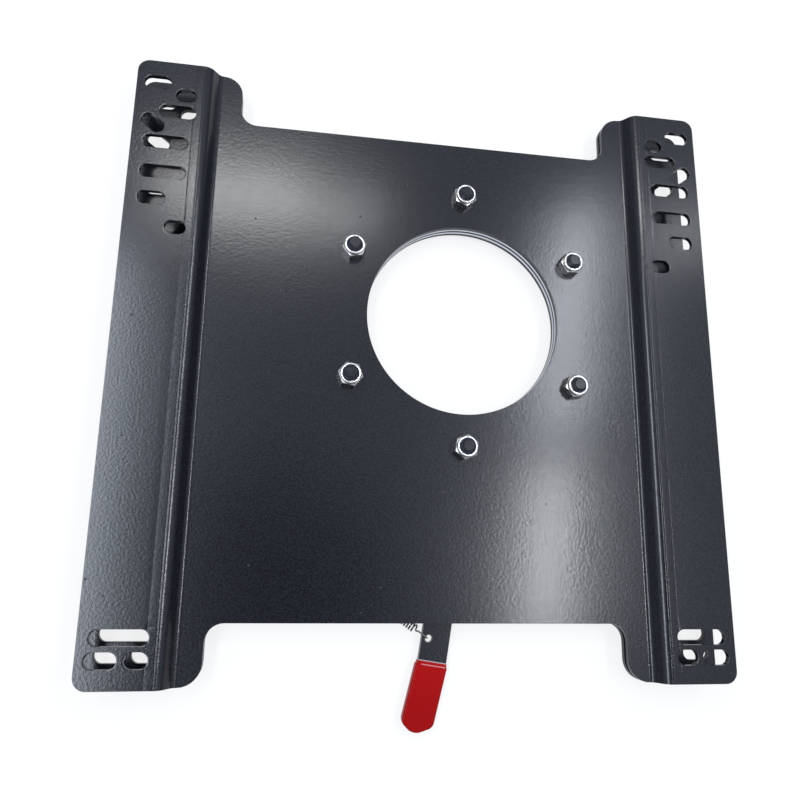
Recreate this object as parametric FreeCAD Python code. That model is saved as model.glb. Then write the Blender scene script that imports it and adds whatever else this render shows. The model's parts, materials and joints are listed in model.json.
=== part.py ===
import FreeCAD, Part
import math
import os

# Swivel seat base for a camper: a fixed lower plate, a turning upper plate and a sprung latch lever.
# Millimetres. Origin: middle of the plates, in the plane that the lower flanges rest on.
# +Z is up, -Y is the front, where the latch lever comes out, and +X is to the right.

V = FreeCAD.Vector
UP = V(0, 0, 1)
TURN = 360.0

# Folded plates
PLATE_WIDTH = 362.0
PLATE_LENGTH = 360.0
SHEET = 3.0
STEP_HEIGHT = 8.0
BEND_ANGLE = 55.0
BEND_INNER_RADIUS = 4.0
PANEL_HALF_WIDTH = 131.0
PLATE_GAP = 2.0
CUTOUT_WIDTH = 238.0
CUTOUT_DEPTH = 32.0
FLANGE_CORNER_RADIUS = 7.0
EAR_CORNER_RADIUS = 12.0
CUTOUT_CORNER_RADIUS = 10.0

# Slots in the flanges. Each row: inset from the side edge, inset from the end, length, lean in degrees.
SLOT_WIDTH = 8.5
REAR_SLOTS = [
    (12.4, 14.4, 16.0, 0.0),
    (29.6, 21.8, 12.2, 0.0),
    (25.4, 33.2, 21.6, 0.0),
    (11.5, 41.7, 15.0, 37.5),
    (19.8, 53.8, 26.4, 0.0),
    (19.8, 73.3, 26.4, 0.0),
    (14.7, 90.3, 16.0, 0.0),
    (29.6, 107.9, 12.2, 0.0),
]
FRONT_SLOTS = [
    (12.4, 14.4, 16.0, 0.0),
    (29.6, 14.4, 12.2, 0.0),
    (20.6, 25.5, 29.4, 0.0),
]

# Swivel: place of its axis, rings and clearances
SWIVEL_RIGHT = 23.0
SWIVEL_REAR = 31.0
CENTRE_HOLE_RADIUS = 60.0
BEARING_RADIUS = 90.0
RUNNING_CLEARANCE = 0.08
SLIDE_RING_CLEARANCE = 0.5
SLIDE_RING_PIVOT_GAP = 2.3
SLIDE_PLAY = 0.1
LOWER_SLIDE_SPACE = 0.8
SHIM_THICKNESS = 1.3
SHIM_RECESS = 1.6
INDEX_RING_OVERLAP = 8.0
INDEX_RING_THICKNESS = 2.5

# Clamping bolts and lock nuts, M8
BOLT_COUNT = 6
BOLT_CIRCLE_INSET = 10.0
BOLT_FIRST_ANGLE = 30.0
BOLT_RADIUS = 4.0
BOLT_HOLE_CLEARANCE = 0.3
BOLT_TIP_OUT = 2.7
BOLT_TIP_CHAMFER = 0.9
HEAD_RADIUS = 7.0
HEAD_HEIGHT = 4.4
HEAD_RIM = 0.8
HEAD_FLAT_RADIUS = 3.6
DOME_STEPS = 3
SOCKET_WIDTH = 5.0
SOCKET_DEPTH = 2.6
NUT_WIDTH = 13.0
NUT_HEX_HEIGHT = 6.2
NUT_HEIGHT = 8.0
NUT_CHAMFER = 0.6
NUT_BORE_CLEARANCE = 0.05
COLLAR_RADIUS = 6.15
COLLAR_MOUTH_RADIUS = 4.9
COLLAR_WALL = 0.7
COLLAR_LIP = 0.5
INSERT_HEIGHT = 2.0
NUT_TURNS = [0.0, 36.5, 12.0, 50.0, 22.0, 8.0]

# Latch lever
LEVER_THICKNESS = 4.0
LEVER_WIDTH = 16.0
LEVER_LEAN = 8.9
HANDLE_LEAN = 14.5
HANDLE_LEFT_LENGTH = 33.7
HANDLE_RIGHT_LENGTH = 32.5
HANDLE_TIP_LENGTH = 38.6
HANDLE_TIP_OFFSET = 1.0
HANDLE_CORNER_RADIUS = 3.5
HANDLE_TIP_RADIUS = 6.0
MOUTH_OVERHANG = 21.0
PIVOT_SIDE_ANGLE = 1.5
PIVOT_BOSS_RADIUS = 10.0
PIVOT_BOSS_GAP = 2.0
ARM_ANGLE = 20.0
ARM_WIDTH = 10.5
ENGAGE_ANGLE = 6.0
RELEASE_ANGLE = 9.0
TOOTH_TIP_WIDTH = 7.0
TOOTH_ROOT_WIDTH = 9.0
TOOTH_REST_GAP = 0.6
TOOTH_HEIGHT = 4.4
NOTCH_COUNT = 4
NOTCH_DEPTH = 4.2
NOTCH_SIDE_CLEARANCE = 1.1

# Lever pivot: a shouldered rivet with a spacer above the lever and a washer below it
PIVOT_RADIUS = 4.0
PIVOT_SPACER_THICKNESS = 0.8
PIVOT_SPACER_RADIUS = 9.0
PIVOT_WASHER_THICKNESS = 0.6
PIVOT_WASHER_RADIUS = 8.0
PIVOT_HEAD_RADIUS = 7.0
PIVOT_HEAD_HEIGHT = 2.0
PIVOT_NECK_RADIUS = 3.0
RIVET_FIT = 0.05
FORMED_HEAD_HEIGHT = 1.2
FORMED_HEAD_OVERHANG = 1.7
HEAD_EDGE = 0.4

# Lever keeper: a strap bent round the lever, riveted under the lower plate
KEEPER_INSET = 18.0
KEEPER_WIDTH = 12.0
KEEPER_SHEET = 1.5
KEEPER_PAD = 10.0
KEEPER_GAP = 0.3
KEEPER_STOP_GAP = 0.5
KEEPER_BEND_RADIUS = 0.7
KEEPER_RIVET_RADIUS = 2.0

# Lever sleeve, dipped plastic
SLEEVE_WALL = 1.1
SLEEVE_EDGE_RADIUS = 1.3

# Lever spring, its hook hole in the lever and its post under the lower plate
SPRING_LENGTH = 60.0
SPRING_DIRECTION = 139.2
SPRING_RADIUS = 2.8
WIRE_RADIUS = 0.45
COIL_START = 7.0
COIL_END_GAP = 6.0
HOOK_HOLE_OVERHANG = 9.6
HOOK_HOLE_SIDE = 3.9
HOOK_HOLE_RADIUS = 2.1
HOOK_GAP = 0.15
HOOK_BEND_RADIUS = 0.8
HOOK_TAIL = 2.4
HOOK_RISE_START = 0.5
POST_RADIUS = 2.5
POST_FLANGE_RADIUS = 3.9
POST_FLANGE_HEIGHT = 1.0
EYE_CLEARANCE = 0.35

# Levels worked out from the sizes above
LOWER_PANEL_BOTTOM = STEP_HEIGHT
LOWER_PANEL_TOP = LOWER_PANEL_BOTTOM + SHEET
UPPER_PANEL_BOTTOM = LOWER_PANEL_TOP + PLATE_GAP
UPPER_PANEL_TOP = UPPER_PANEL_BOTTOM + SHEET
TOTAL_PLATE_HEIGHT = UPPER_PANEL_TOP + STEP_HEIGHT
INDEX_RING_TOP = LOWER_PANEL_BOTTOM - LOWER_SLIDE_SPACE
INDEX_RING_BOTTOM = INDEX_RING_TOP - INDEX_RING_THICKNESS
LEVER_TOP = LOWER_PANEL_BOTTOM - PIVOT_SPACER_THICKNESS
LEVER_BOTTOM = LEVER_TOP - LEVER_THICKNESS
NUT_TOP = UPPER_PANEL_TOP + NUT_HEIGHT

# Places worked out from the sizes above
SWIVEL = V(SWIVEL_RIGHT, SWIVEL_REAR, 0)
FRONT_EDGE_Y = -(PLATE_LENGTH / 2 - CUTOUT_DEPTH)
BOLT_HOLE_RADIUS = BOLT_RADIUS + BOLT_HOLE_CLEARANCE
BEARING_HOLE_RADIUS = BEARING_RADIUS + RUNNING_CLEARANCE
SLIDE_RING_INNER = BEARING_RADIUS + SLIDE_RING_CLEARANCE
INDEX_RING_RADIUS = BEARING_RADIUS + INDEX_RING_OVERLAP
BOLT_CIRCLE_RADIUS = BEARING_RADIUS - BOLT_CIRCLE_INSET
PIVOT_DISTANCE = INDEX_RING_RADIUS + PIVOT_BOSS_GAP + PIVOT_BOSS_RADIUS
PIVOT_FORMED_HEAD_RADIUS = PIVOT_NECK_RADIUS + FORMED_HEAD_OVERHANG
SLIDE_RING_OUTER = PIVOT_DISTANCE - PIVOT_FORMED_HEAD_RADIUS - SLIDE_RING_PIVOT_GAP


def polar(radius, degrees, origin=V(0, 0, 0)):
    """Point at a radius and an angle from +X, about an origin."""
    angle = math.radians(degrees)
    return origin + V(radius * math.cos(angle), radius * math.sin(angle), 0)


PIVOT_ANGLE = -90.0 - PIVOT_SIDE_ANGLE
PIVOT = polar(PIVOT_DISTANCE, PIVOT_ANGLE, SWIVEL)
LEVER_ALONG = polar(1.0, -90.0 - LEVER_LEAN)
LEVER_SIDE = polar(1.0, -LEVER_LEAN)
HANDLE_ALONG = polar(1.0, -90.0 - HANDLE_LEAN)
HANDLE_SIDE = polar(1.0, -HANDLE_LEAN)
LEVER_REACH = (PIVOT.y - FRONT_EDGE_Y + MOUTH_OVERHANG) / -LEVER_ALONG.y
HOOK_REACH = (PIVOT.y - FRONT_EDGE_Y + HOOK_HOLE_OVERHANG) / -LEVER_ALONG.y
KEEPER_REACH = (PIVOT.y - FRONT_EDGE_Y - KEEPER_INSET) / -LEVER_ALONG.y
MOUTH = PIVOT + LEVER_ALONG * LEVER_REACH
HOOK_HOLE = PIVOT + LEVER_ALONG * HOOK_REACH - LEVER_SIDE * HOOK_HOLE_SIDE
KEEPER = PIVOT + LEVER_ALONG * KEEPER_REACH
SPRING_POST = polar(SPRING_LENGTH, SPRING_DIRECTION, HOOK_HOLE)
SPRING_LEVEL = (LEVER_TOP + LEVER_BOTTOM) / 2


# Shape helpers


def rounded_outline(corners):
    """Closed wire in the XY plane through (x, y, radius) corners, each rounded by an arc."""
    count = len(corners)
    ends = []
    for i in range(count):
        x, y, radius = corners[i]
        here = V(x, y, 0)
        before = (V(*corners[i - 1][:2], 0) - here).normalize()
        after = (V(*corners[(i + 1) % count][:2], 0) - here).normalize()
        if radius == 0:
            ends.append((here, None, here))
            continue
        half = before.getAngle(after) / 2
        reach = radius / math.tan(half)
        inward = (before + after).normalize()
        middle = here + inward * (radius / math.sin(half) - radius)
        ends.append((here + before * reach, middle, here + after * reach))
    edges = []
    for i in range(count):
        start, middle, end = ends[i]
        if middle is not None:
            edges.append(Part.Arc(start, middle, end).toShape())
        next_start = ends[(i + 1) % count][0]
        if end.distanceToPoint(next_start) > 1e-6:
            edges.append(Part.LineSegment(end, next_start).toShape())
    return Part.Wire(edges)


def prism(wire, low, high):
    """Solid from a flat wire in the XY plane, between two levels."""
    solid = Part.Face(wire).extrude(V(0, 0, high - low))
    solid.translate(V(0, 0, low))
    return solid


def cylinder(radius, low, high, centre=V(0, 0, 0)):
    return Part.makeCylinder(radius, high - low, V(centre.x, centre.y, low), UP)


def ring(inner, outer, low, high, centre=V(0, 0, 0)):
    return cylinder(outer, low, high, centre).cut(cylinder(inner, low, high, centre))


def slot_prism(x, y, length, lean, low, high):
    """Round-ended slot of the common width, leaning from the X direction."""
    radius = SLOT_WIDTH / 2
    reach = length / 2 - radius
    edges = [
        Part.LineSegment(V(-reach, -radius, 0), V(reach, -radius, 0)).toShape(),
        Part.Arc(V(reach, -radius, 0), V(reach + radius, 0, 0), V(reach, radius, 0)).toShape(),
        Part.LineSegment(V(reach, radius, 0), V(-reach, radius, 0)).toShape(),
        Part.Arc(V(-reach, radius, 0), V(-reach - radius, 0, 0), V(-reach, -radius, 0)).toShape(),
    ]
    solid = prism(Part.Wire(edges), low, high)
    solid.rotate(V(0, 0, 0), UP, lean)
    solid.translate(V(x, y, 0))
    return solid


def revolved(points, centre):
    """Solid turned about a vertical axis from (radius, level) points."""
    path = [V(radius, 0, level) for radius, level in points]
    face = Part.Face(Part.makePolygon(path + [path[0]]))
    solid = face.revolve(V(0, 0, 0), UP, TURN)
    solid.translate(V(centre.x, centre.y, 0))
    return solid


def hexagon_prism(width, low, high, turn=0.0):
    corner = width / 2 / math.cos(math.radians(30))
    points = [polar(corner, turn + 60.0 * i) for i in range(6)]
    return prism(Part.makePolygon(points + [points[0]]), low, high)


def on_bolt_circle():
    """Centres of the clamping bolts, on their circle round the swivel axis."""
    pitch = TURN / BOLT_COUNT
    return [polar(BOLT_CIRCLE_RADIUS, BOLT_FIRST_ANGLE + pitch * i, SWIVEL) for i in range(BOLT_COUNT)]


def drilled(solid, radius, centres):
    """The solid with a vertical hole through it at each centre."""
    box = solid.BoundBox
    holes = [cylinder(radius, box.ZMin - 1, box.ZMax + 1, centre) for centre in centres]
    return solid.cut(holes)


# Folded plates


def plate_outline():
    """Outline seen from above: a rectangle whose front and rear middles are cut back."""
    x = PLATE_WIDTH / 2
    y = PLATE_LENGTH / 2
    ear = CUTOUT_WIDTH / 2
    back = y - CUTOUT_DEPTH
    quarter = [
        (x, y, FLANGE_CORNER_RADIUS),
        (ear, y, EAR_CORNER_RADIUS),
        (ear, back, CUTOUT_CORNER_RADIUS),
    ]
    left_rear = [(-px, py, radius) for px, py, radius in reversed(quarter)]
    rear = quarter + left_rear
    front = [(-px, -py, radius) for px, py, radius in rear]
    return rounded_outline(rear + front)


def step_side(level, first_radius, second_radius):
    """One face of the sheet from the panel down to the flange: (start, middle, end) arcs."""
    angle = math.radians(BEND_ANGLE)
    both = 2 * BEND_INNER_RADIUS + SHEET
    web = (STEP_HEIGHT - both * (1 - math.cos(angle))) / math.sin(angle)
    run = both * math.sin(angle) + web * math.cos(angle)
    top_centre = V(PANEL_HALF_WIDTH, 0, LOWER_PANEL_TOP - SHEET - BEND_INNER_RADIUS)
    low_centre = V(PANEL_HALF_WIDTH + run, 0, level + second_radius)

    def on_top(turn):
        return top_centre + V(math.sin(turn), 0, math.cos(turn)) * first_radius

    def on_low(turn):
        return low_centre - V(math.sin(turn), 0, math.cos(turn)) * second_radius

    first = (on_top(0), on_top(angle / 2), on_top(angle))
    second = (on_low(angle), on_low(angle / 2), on_low(0))
    return first, second


def folded_sheet():
    """Lower plate's sheet with its two stepped flanges, as long as the plate."""
    inner = BEND_INNER_RADIUS
    outer = BEND_INNER_RADIUS + SHEET
    under = step_side(0, inner, outer)
    over = step_side(SHEET, outer, inner)
    edge = PLATE_WIDTH / 2
    edges = []

    def mirror_x(point):
        return V(-point.x, point.y, point.z)

    def line(start, end):
        edges.append(Part.LineSegment(start, end).toShape())

    def arc(points):
        edges.append(Part.Arc(*points).toShape())

    for side, level in ((under, 0), (over, SHEET)):
        first, second = side
        line(mirror_x(first[0]), first[0])
        arc(first)
        line(first[2], second[0])
        arc(second)
        line(second[2], V(edge, 0, level))
        arc([mirror_x(point) for point in first])
        line(mirror_x(first[2]), mirror_x(second[0]))
        arc([mirror_x(point) for point in second])
        line(mirror_x(second[2]), V(-edge, 0, level))
    line(V(edge, 0, 0), V(edge, 0, SHEET))
    line(V(-edge, 0, 0), V(-edge, 0, SHEET))
    wire = Part.Wire(Part.__sortEdges__(edges))
    sheet = Part.Face(wire).extrude(V(0, PLATE_LENGTH, 0))
    sheet.translate(V(0, -PLATE_LENGTH / 2, 0))
    return sheet


def flange_slots():
    """Slot cutters for both flanges, through the height of both plates."""
    x_edge = PLATE_WIDTH / 2
    y_edge = PLATE_LENGTH / 2
    low = -1.0
    high = TOTAL_PLATE_HEIGHT + 1.0
    cutters = []
    for rows, end in ((REAR_SLOTS, 1), (FRONT_SLOTS, -1)):
        for side_inset, end_inset, length, lean in rows:
            x = x_edge - side_inset
            y = end * (y_edge - end_inset)
            cutters.append(slot_prism(x, y, length, lean, low, high))
            cutters.append(slot_prism(-x, y, length, -lean, low, high))
    return cutters


def plate_blank():
    """Lower plate as folded and punched, before its centre is cut."""
    outline = prism(plate_outline(), -1.0, TOTAL_PLATE_HEIGHT + 1.0)
    return folded_sheet().common(outline).cut(flange_slots())


def lower_plate():
    plate = plate_blank()
    plate = drilled(plate, BEARING_HOLE_RADIUS, [SWIVEL])
    plate = drilled(plate, PIVOT_NECK_RADIUS + RIVET_FIT, [PIVOT])
    plate = drilled(plate, KEEPER_RIVET_RADIUS + RIVET_FIT, keeper_rivet_centres())
    return drilled(plate, KEEPER_RIVET_RADIUS + RIVET_FIT, [SPRING_POST])


def upper_plate():
    """The same blank turned over, with the cable hole and the bolt holes."""
    plate = plate_blank().mirror(V(0, 0, TOTAL_PLATE_HEIGHT / 2), UP)
    plate = drilled(plate, CENTRE_HOLE_RADIUS, [SWIVEL])
    return drilled(plate, BOLT_HOLE_RADIUS, on_bolt_circle())


# Swivel rings


def slide_ring_upper():
    """Plastic ring that the upper plate slides on, seated on the lower plate."""
    top = UPPER_PANEL_BOTTOM - SLIDE_PLAY
    return ring(SLIDE_RING_INNER, SLIDE_RING_OUTER, LOWER_PANEL_TOP, top, SWIVEL)


def slide_ring_lower():
    """Thin plastic ring between the lower plate and the index ring's rim."""
    low = INDEX_RING_TOP + SLIDE_PLAY
    return ring(SLIDE_RING_INNER, INDEX_RING_RADIUS, low, LOWER_PANEL_BOTTOM, SWIVEL)


def hub_spacer_ring():
    blank = ring(CENTRE_HOLE_RADIUS, BEARING_RADIUS, LOWER_PANEL_TOP, UPPER_PANEL_BOTTOM, SWIVEL)
    return drilled(blank, BOLT_HOLE_RADIUS, on_bolt_circle())


def hub_shim():
    inner = CENTRE_HOLE_RADIUS + SHIM_RECESS
    outer = BEARING_RADIUS - SHIM_RECESS
    blank = ring(inner, outer, LOWER_PANEL_TOP - SHIM_THICKNESS, LOWER_PANEL_TOP, SWIVEL)
    return drilled(blank, BOLT_HOLE_RADIUS, on_bolt_circle())


def hub_ring():
    """Steel ring that turns in the lower plate's hole."""
    top = LOWER_PANEL_TOP - SHIM_THICKNESS
    blank = ring(CENTRE_HOLE_RADIUS, BEARING_RADIUS, INDEX_RING_TOP, top, SWIVEL)
    return drilled(blank, BOLT_HOLE_RADIUS, on_bolt_circle())


def notch_cutter(direction):
    """Notch in the rim of the index ring, open outwards, with sloping flanks."""
    slope = (TOOTH_ROOT_WIDTH - TOOTH_TIP_WIDTH) / 2 / TOOTH_HEIGHT
    floor = INDEX_RING_RADIUS - NOTCH_DEPTH
    mouth = INDEX_RING_RADIUS + 1.0
    floor_half = TOOTH_TIP_WIDTH / 2 + NOTCH_SIDE_CLEARANCE
    mouth_half = floor_half + (mouth - floor) * slope
    corners = [
        (floor, -floor_half, 1.0),
        (mouth, -mouth_half, 0),
        (mouth, mouth_half, 0),
        (floor, floor_half, 1.0),
    ]
    cutter = prism(rounded_outline(corners), INDEX_RING_BOTTOM - 1, INDEX_RING_TOP + 1)
    cutter.rotate(V(0, 0, 0), UP, direction)
    cutter.translate(SWIVEL)
    return cutter


def engaged_tooth_direction():
    """Angle of the tooth about the swivel axis when the lever is swung into a notch."""
    tip = polar(INDEX_RING_RADIUS, PIVOT_ANGLE - ARM_ANGLE, SWIVEL)
    arm = tip - PIVOT
    swung = PIVOT + FreeCAD.Rotation(UP, -ENGAGE_ANGLE).multVec(arm)
    return math.degrees(math.atan2(swung.y - SWIVEL.y, swung.x - SWIVEL.x))


def index_ring():
    """Retaining ring under the lower plate, notched for the latch tooth."""
    blank = ring(CENTRE_HOLE_RADIUS, INDEX_RING_RADIUS, INDEX_RING_BOTTOM, INDEX_RING_TOP, SWIVEL)
    blank = drilled(blank, BOLT_HOLE_RADIUS, on_bolt_circle())
    first = engaged_tooth_direction()
    pitch = TURN / NOTCH_COUNT
    return blank.cut([notch_cutter(first + pitch * i) for i in range(NOTCH_COUNT)])


# Clamping bolts and nuts


def clamp_bolt(centre):
    """Button-head bolt, head down, with a hexagon socket."""
    head_top = INDEX_RING_BOTTOM
    head_low = head_top - HEAD_HEIGHT
    tip = NUT_TOP + BOLT_TIP_OUT
    dome = []
    for i in range(DOME_STEPS + 1):
        share = math.radians(90.0 * i / DOME_STEPS)
        radius = HEAD_FLAT_RADIUS + (HEAD_RADIUS - HEAD_FLAT_RADIUS) * math.sin(share)
        level = head_top - HEAD_RIM - (HEAD_HEIGHT - HEAD_RIM) * math.cos(share)
        dome.append((radius, level))
    profile = [(0, head_low)] + dome + [
        (HEAD_RADIUS, head_top),
        (BOLT_RADIUS, head_top),
        (BOLT_RADIUS, tip - BOLT_TIP_CHAMFER),
        (BOLT_RADIUS - BOLT_TIP_CHAMFER, tip),
        (0, tip),
    ]
    bolt = revolved(profile, V(0, 0, 0))
    bolt = bolt.cut(hexagon_prism(SOCKET_WIDTH, head_low - 1, head_low + SOCKET_DEPTH))
    bolt.translate(centre)
    return bolt


def insert_seat():
    """Radius and levels of the cavity that holds a nut's plastic ring."""
    top = NUT_TOP - COLLAR_LIP
    return COLLAR_RADIUS - COLLAR_WALL, top - INSERT_HEIGHT, top


def lock_nut(centre, turn):
    """Hexagon nut whose crimped collar holds a plastic ring."""
    base = UPPER_PANEL_TOP
    corner = NUT_WIDTH / 2 / math.cos(math.radians(30))
    flat = NUT_WIDTH / 2
    hex_top = base + NUT_HEX_HEIGHT
    seat_radius, seat_low, seat_top = insert_seat()
    bore = BOLT_RADIUS + NUT_BORE_CLEARANCE
    envelope = revolved([
        (0, base),
        (corner, base),
        (corner, hex_top - NUT_CHAMFER),
        (flat, hex_top),
        (0, hex_top),
    ], V(0, 0, 0))
    body = hexagon_prism(NUT_WIDTH, base, hex_top, turn).common(envelope)
    collar = revolved([
        (0, hex_top - COLLAR_LIP),
        (COLLAR_RADIUS, hex_top - COLLAR_LIP),
        (COLLAR_RADIUS, NUT_TOP - COLLAR_LIP),
        (COLLAR_RADIUS - COLLAR_LIP, NUT_TOP),
        (0, NUT_TOP),
    ], V(0, 0, 0))
    inside = revolved([
        (0, base - 1),
        (bore, base - 1),
        (bore, seat_low),
        (seat_radius, seat_low),
        (seat_radius, seat_top),
        (COLLAR_MOUTH_RADIUS, seat_top),
        (COLLAR_MOUTH_RADIUS, NUT_TOP + 1),
        (0, NUT_TOP + 1),
    ], V(0, 0, 0))
    nut = body.fuse(collar).removeSplitter().cut(inside)
    nut.translate(centre)
    return nut


def nut_insert(centre):
    seat_radius, seat_low, seat_top = insert_seat()
    return ring(BOLT_RADIUS + NUT_BORE_CLEARANCE, seat_radius, seat_low, seat_top, centre)


# Latch lever


def bar_outline(margin):
    """Corners of the lever's bar and handle, grown by a margin, from the pivot to the tip."""
    half = LEVER_WIDTH / 2 + margin
    tip_grow = HANDLE_ALONG * margin
    left_end = MOUTH + HANDLE_ALONG * HANDLE_LEFT_LENGTH - HANDLE_SIDE * half + tip_grow
    right_end = MOUTH + HANDLE_ALONG * HANDLE_RIGHT_LENGTH + HANDLE_SIDE * half + tip_grow
    far_tip = MOUTH + HANDLE_ALONG * HANDLE_TIP_LENGTH - HANDLE_SIDE * HANDLE_TIP_OFFSET + tip_grow
    handle = [
        (left_end.x, left_end.y, HANDLE_CORNER_RADIUS + margin),
        (far_tip.x, far_tip.y, HANDLE_TIP_RADIUS + margin),
        (right_end.x, right_end.y, HANDLE_CORNER_RADIUS + margin),
    ]
    return half, handle


def kink_corner(half, side):
    """Where the bar's edge meets the handle's edge, on one side of the bend in the lever."""
    start = PIVOT + LEVER_SIDE * (side * half)
    toward = MOUTH + HANDLE_SIDE * (side * half)
    gap = toward - start
    across = LEVER_ALONG.x * HANDLE_ALONG.y - LEVER_ALONG.y * HANDLE_ALONG.x
    reach = (gap.x * HANDLE_ALONG.y - gap.y * HANDLE_ALONG.x) / across
    return start + LEVER_ALONG * reach


def arm_and_tooth():
    """Curved arm beside the index ring, with the tooth that drops into a notch."""
    inner = INDEX_RING_RADIUS + TOOTH_REST_GAP + TOOTH_HEIGHT
    outer = inner + ARM_WIDTH
    tooth_direction = PIVOT_ANGLE - ARM_ANGLE
    end_turn = math.degrees(TOOTH_ROOT_WIDTH / 2 / inner)
    start = PIVOT_ANGLE
    end = tooth_direction - end_turn
    middle = (start + end) / 2
    edges = [
        Part.Arc(polar(inner, start), polar(inner, middle), polar(inner, end)).toShape(),
        Part.LineSegment(polar(inner, end), polar(outer, end)).toShape(),
        Part.Arc(polar(outer, end), polar(outer, middle), polar(outer, start)).toShape(),
        Part.LineSegment(polar(outer, start), polar(inner, start)).toShape(),
    ]
    arm = prism(Part.Wire(edges), LEVER_BOTTOM, LEVER_TOP)
    tip = INDEX_RING_RADIUS + TOOTH_REST_GAP
    root = inner + 1.0
    tip_half = TOOTH_TIP_WIDTH / 2
    root_half = TOOTH_ROOT_WIDTH / 2
    corners = [(tip, -tip_half, 1.0), (root, -root_half, 0), (root, root_half, 0), (tip, tip_half, 1.0)]
    tooth = prism(rounded_outline(corners), LEVER_BOTTOM, LEVER_TOP)
    tooth.rotate(V(0, 0, 0), UP, tooth_direction)
    latch = arm.fuse(tooth)
    latch.translate(SWIVEL)
    return latch


def lever_blank():
    """Bar from the pivot to the handle's tip, without its holes."""
    half, handle = bar_outline(0)
    left = kink_corner(half, -1)
    right = kink_corner(half, 1)
    top_left = PIVOT - LEVER_SIDE * half
    top_right = PIVOT + LEVER_SIDE * half
    corners = [(top_left.x, top_left.y, 0), (left.x, left.y, 0)]
    corners += handle
    corners += [(right.x, right.y, 0), (top_right.x, top_right.y, 0)]
    return prism(rounded_outline(corners), LEVER_BOTTOM, LEVER_TOP)


def lever_bar():
    boss = cylinder(PIVOT_BOSS_RADIUS, LEVER_BOTTOM, LEVER_TOP, PIVOT)
    lever = lever_blank().fuse([boss, arm_and_tooth()]).removeSplitter()
    lever = drilled(lever, PIVOT_RADIUS + RUNNING_CLEARANCE, [PIVOT])
    return drilled(lever, HOOK_HOLE_RADIUS, [HOOK_HOLE])


def lever_sleeve():
    """Dipped sleeve over the handle, closed at the tip and square at its mouth."""
    half, handle = bar_outline(SLEEVE_WALL)
    left = MOUTH - LEVER_SIDE * half
    right = MOUTH + LEVER_SIDE * half
    corners = [(left.x, left.y, 0)] + handle + [(right.x, right.y, 0)]
    low = LEVER_BOTTOM - SLEEVE_WALL
    high = LEVER_TOP + SLEEVE_WALL
    body = prism(rounded_outline(corners), low, high)
    rims = [edge for edge in body.Edges if outer_rim(edge, low, high)]
    return body.makeFillet(SLEEVE_EDGE_RADIUS, rims).cut(lever_blank())


def outer_rim(edge, low, high):
    """True for the sleeve's long edges, which are rounded, and not for its mouth."""
    box = edge.BoundBox
    flat = box.ZLength < 1e-6 and min(abs(box.ZMin - low), abs(box.ZMin - high)) < 1e-6
    ends = [vertex.Point - V(0, 0, vertex.Point.z) - MOUTH for vertex in edge.Vertexes]
    at_mouth = all(abs(end.dot(LEVER_ALONG)) < 1e-6 for end in ends)
    return flat and not at_mouth


def headed_pin(centre, profile):
    return revolved([(0, profile[0][1])] + profile + [(0, profile[-1][1])], centre)


def formed_head(neck):
    """Profile of a riveted head on top of the lower plate, from its neck."""
    top = LOWER_PANEL_TOP + FORMED_HEAD_HEIGHT
    radius = neck + FORMED_HEAD_OVERHANG
    return [
        (neck, LOWER_PANEL_TOP),
        (radius, LOWER_PANEL_TOP),
        (radius, top - HEAD_EDGE),
        (radius - HEAD_EDGE, top),
    ]


def pivot_rivet():
    """Shouldered rivet: the lever turns on its shank, and its neck is formed over the plate."""
    seat = LEVER_BOTTOM - PIVOT_WASHER_THICKNESS
    low = seat - PIVOT_HEAD_HEIGHT
    profile = [
        (PIVOT_HEAD_RADIUS - HEAD_EDGE, low),
        (PIVOT_HEAD_RADIUS, low + HEAD_EDGE),
        (PIVOT_HEAD_RADIUS, seat),
        (PIVOT_RADIUS, seat),
        (PIVOT_RADIUS, LOWER_PANEL_BOTTOM),
        (PIVOT_NECK_RADIUS, LOWER_PANEL_BOTTOM),
    ]
    return headed_pin(PIVOT, profile + formed_head(PIVOT_NECK_RADIUS))


def pivot_spacer():
    inner = PIVOT_RADIUS + RIVET_FIT
    return ring(inner, PIVOT_SPACER_RADIUS, LEVER_TOP, LOWER_PANEL_BOTTOM, PIVOT)


def pivot_washer():
    inner = PIVOT_RADIUS + RIVET_FIT
    return ring(inner, PIVOT_WASHER_RADIUS, LEVER_BOTTOM - PIVOT_WASHER_THICKNESS, LEVER_BOTTOM, PIVOT)


# Lever keeper


def keeper_reaches():
    """Distances from the lever's middle line to the keeper's legs, left and right."""
    far = KEEPER_REACH + KEEPER_WIDTH / 2

    def reach(swing):
        angle = math.radians(swing)
        return far * math.sin(angle) + LEVER_WIDTH / 2 / math.cos(angle) + KEEPER_STOP_GAP

    return reach(ENGAGE_ANGLE), reach(RELEASE_ANGLE)


def keeper_rivet_centres():
    left, right = keeper_reaches()
    pad_middle = KEEPER_SHEET + KEEPER_PAD / 2
    return [KEEPER - LEVER_SIDE * (left + pad_middle), KEEPER + LEVER_SIDE * (right + pad_middle)]


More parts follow.
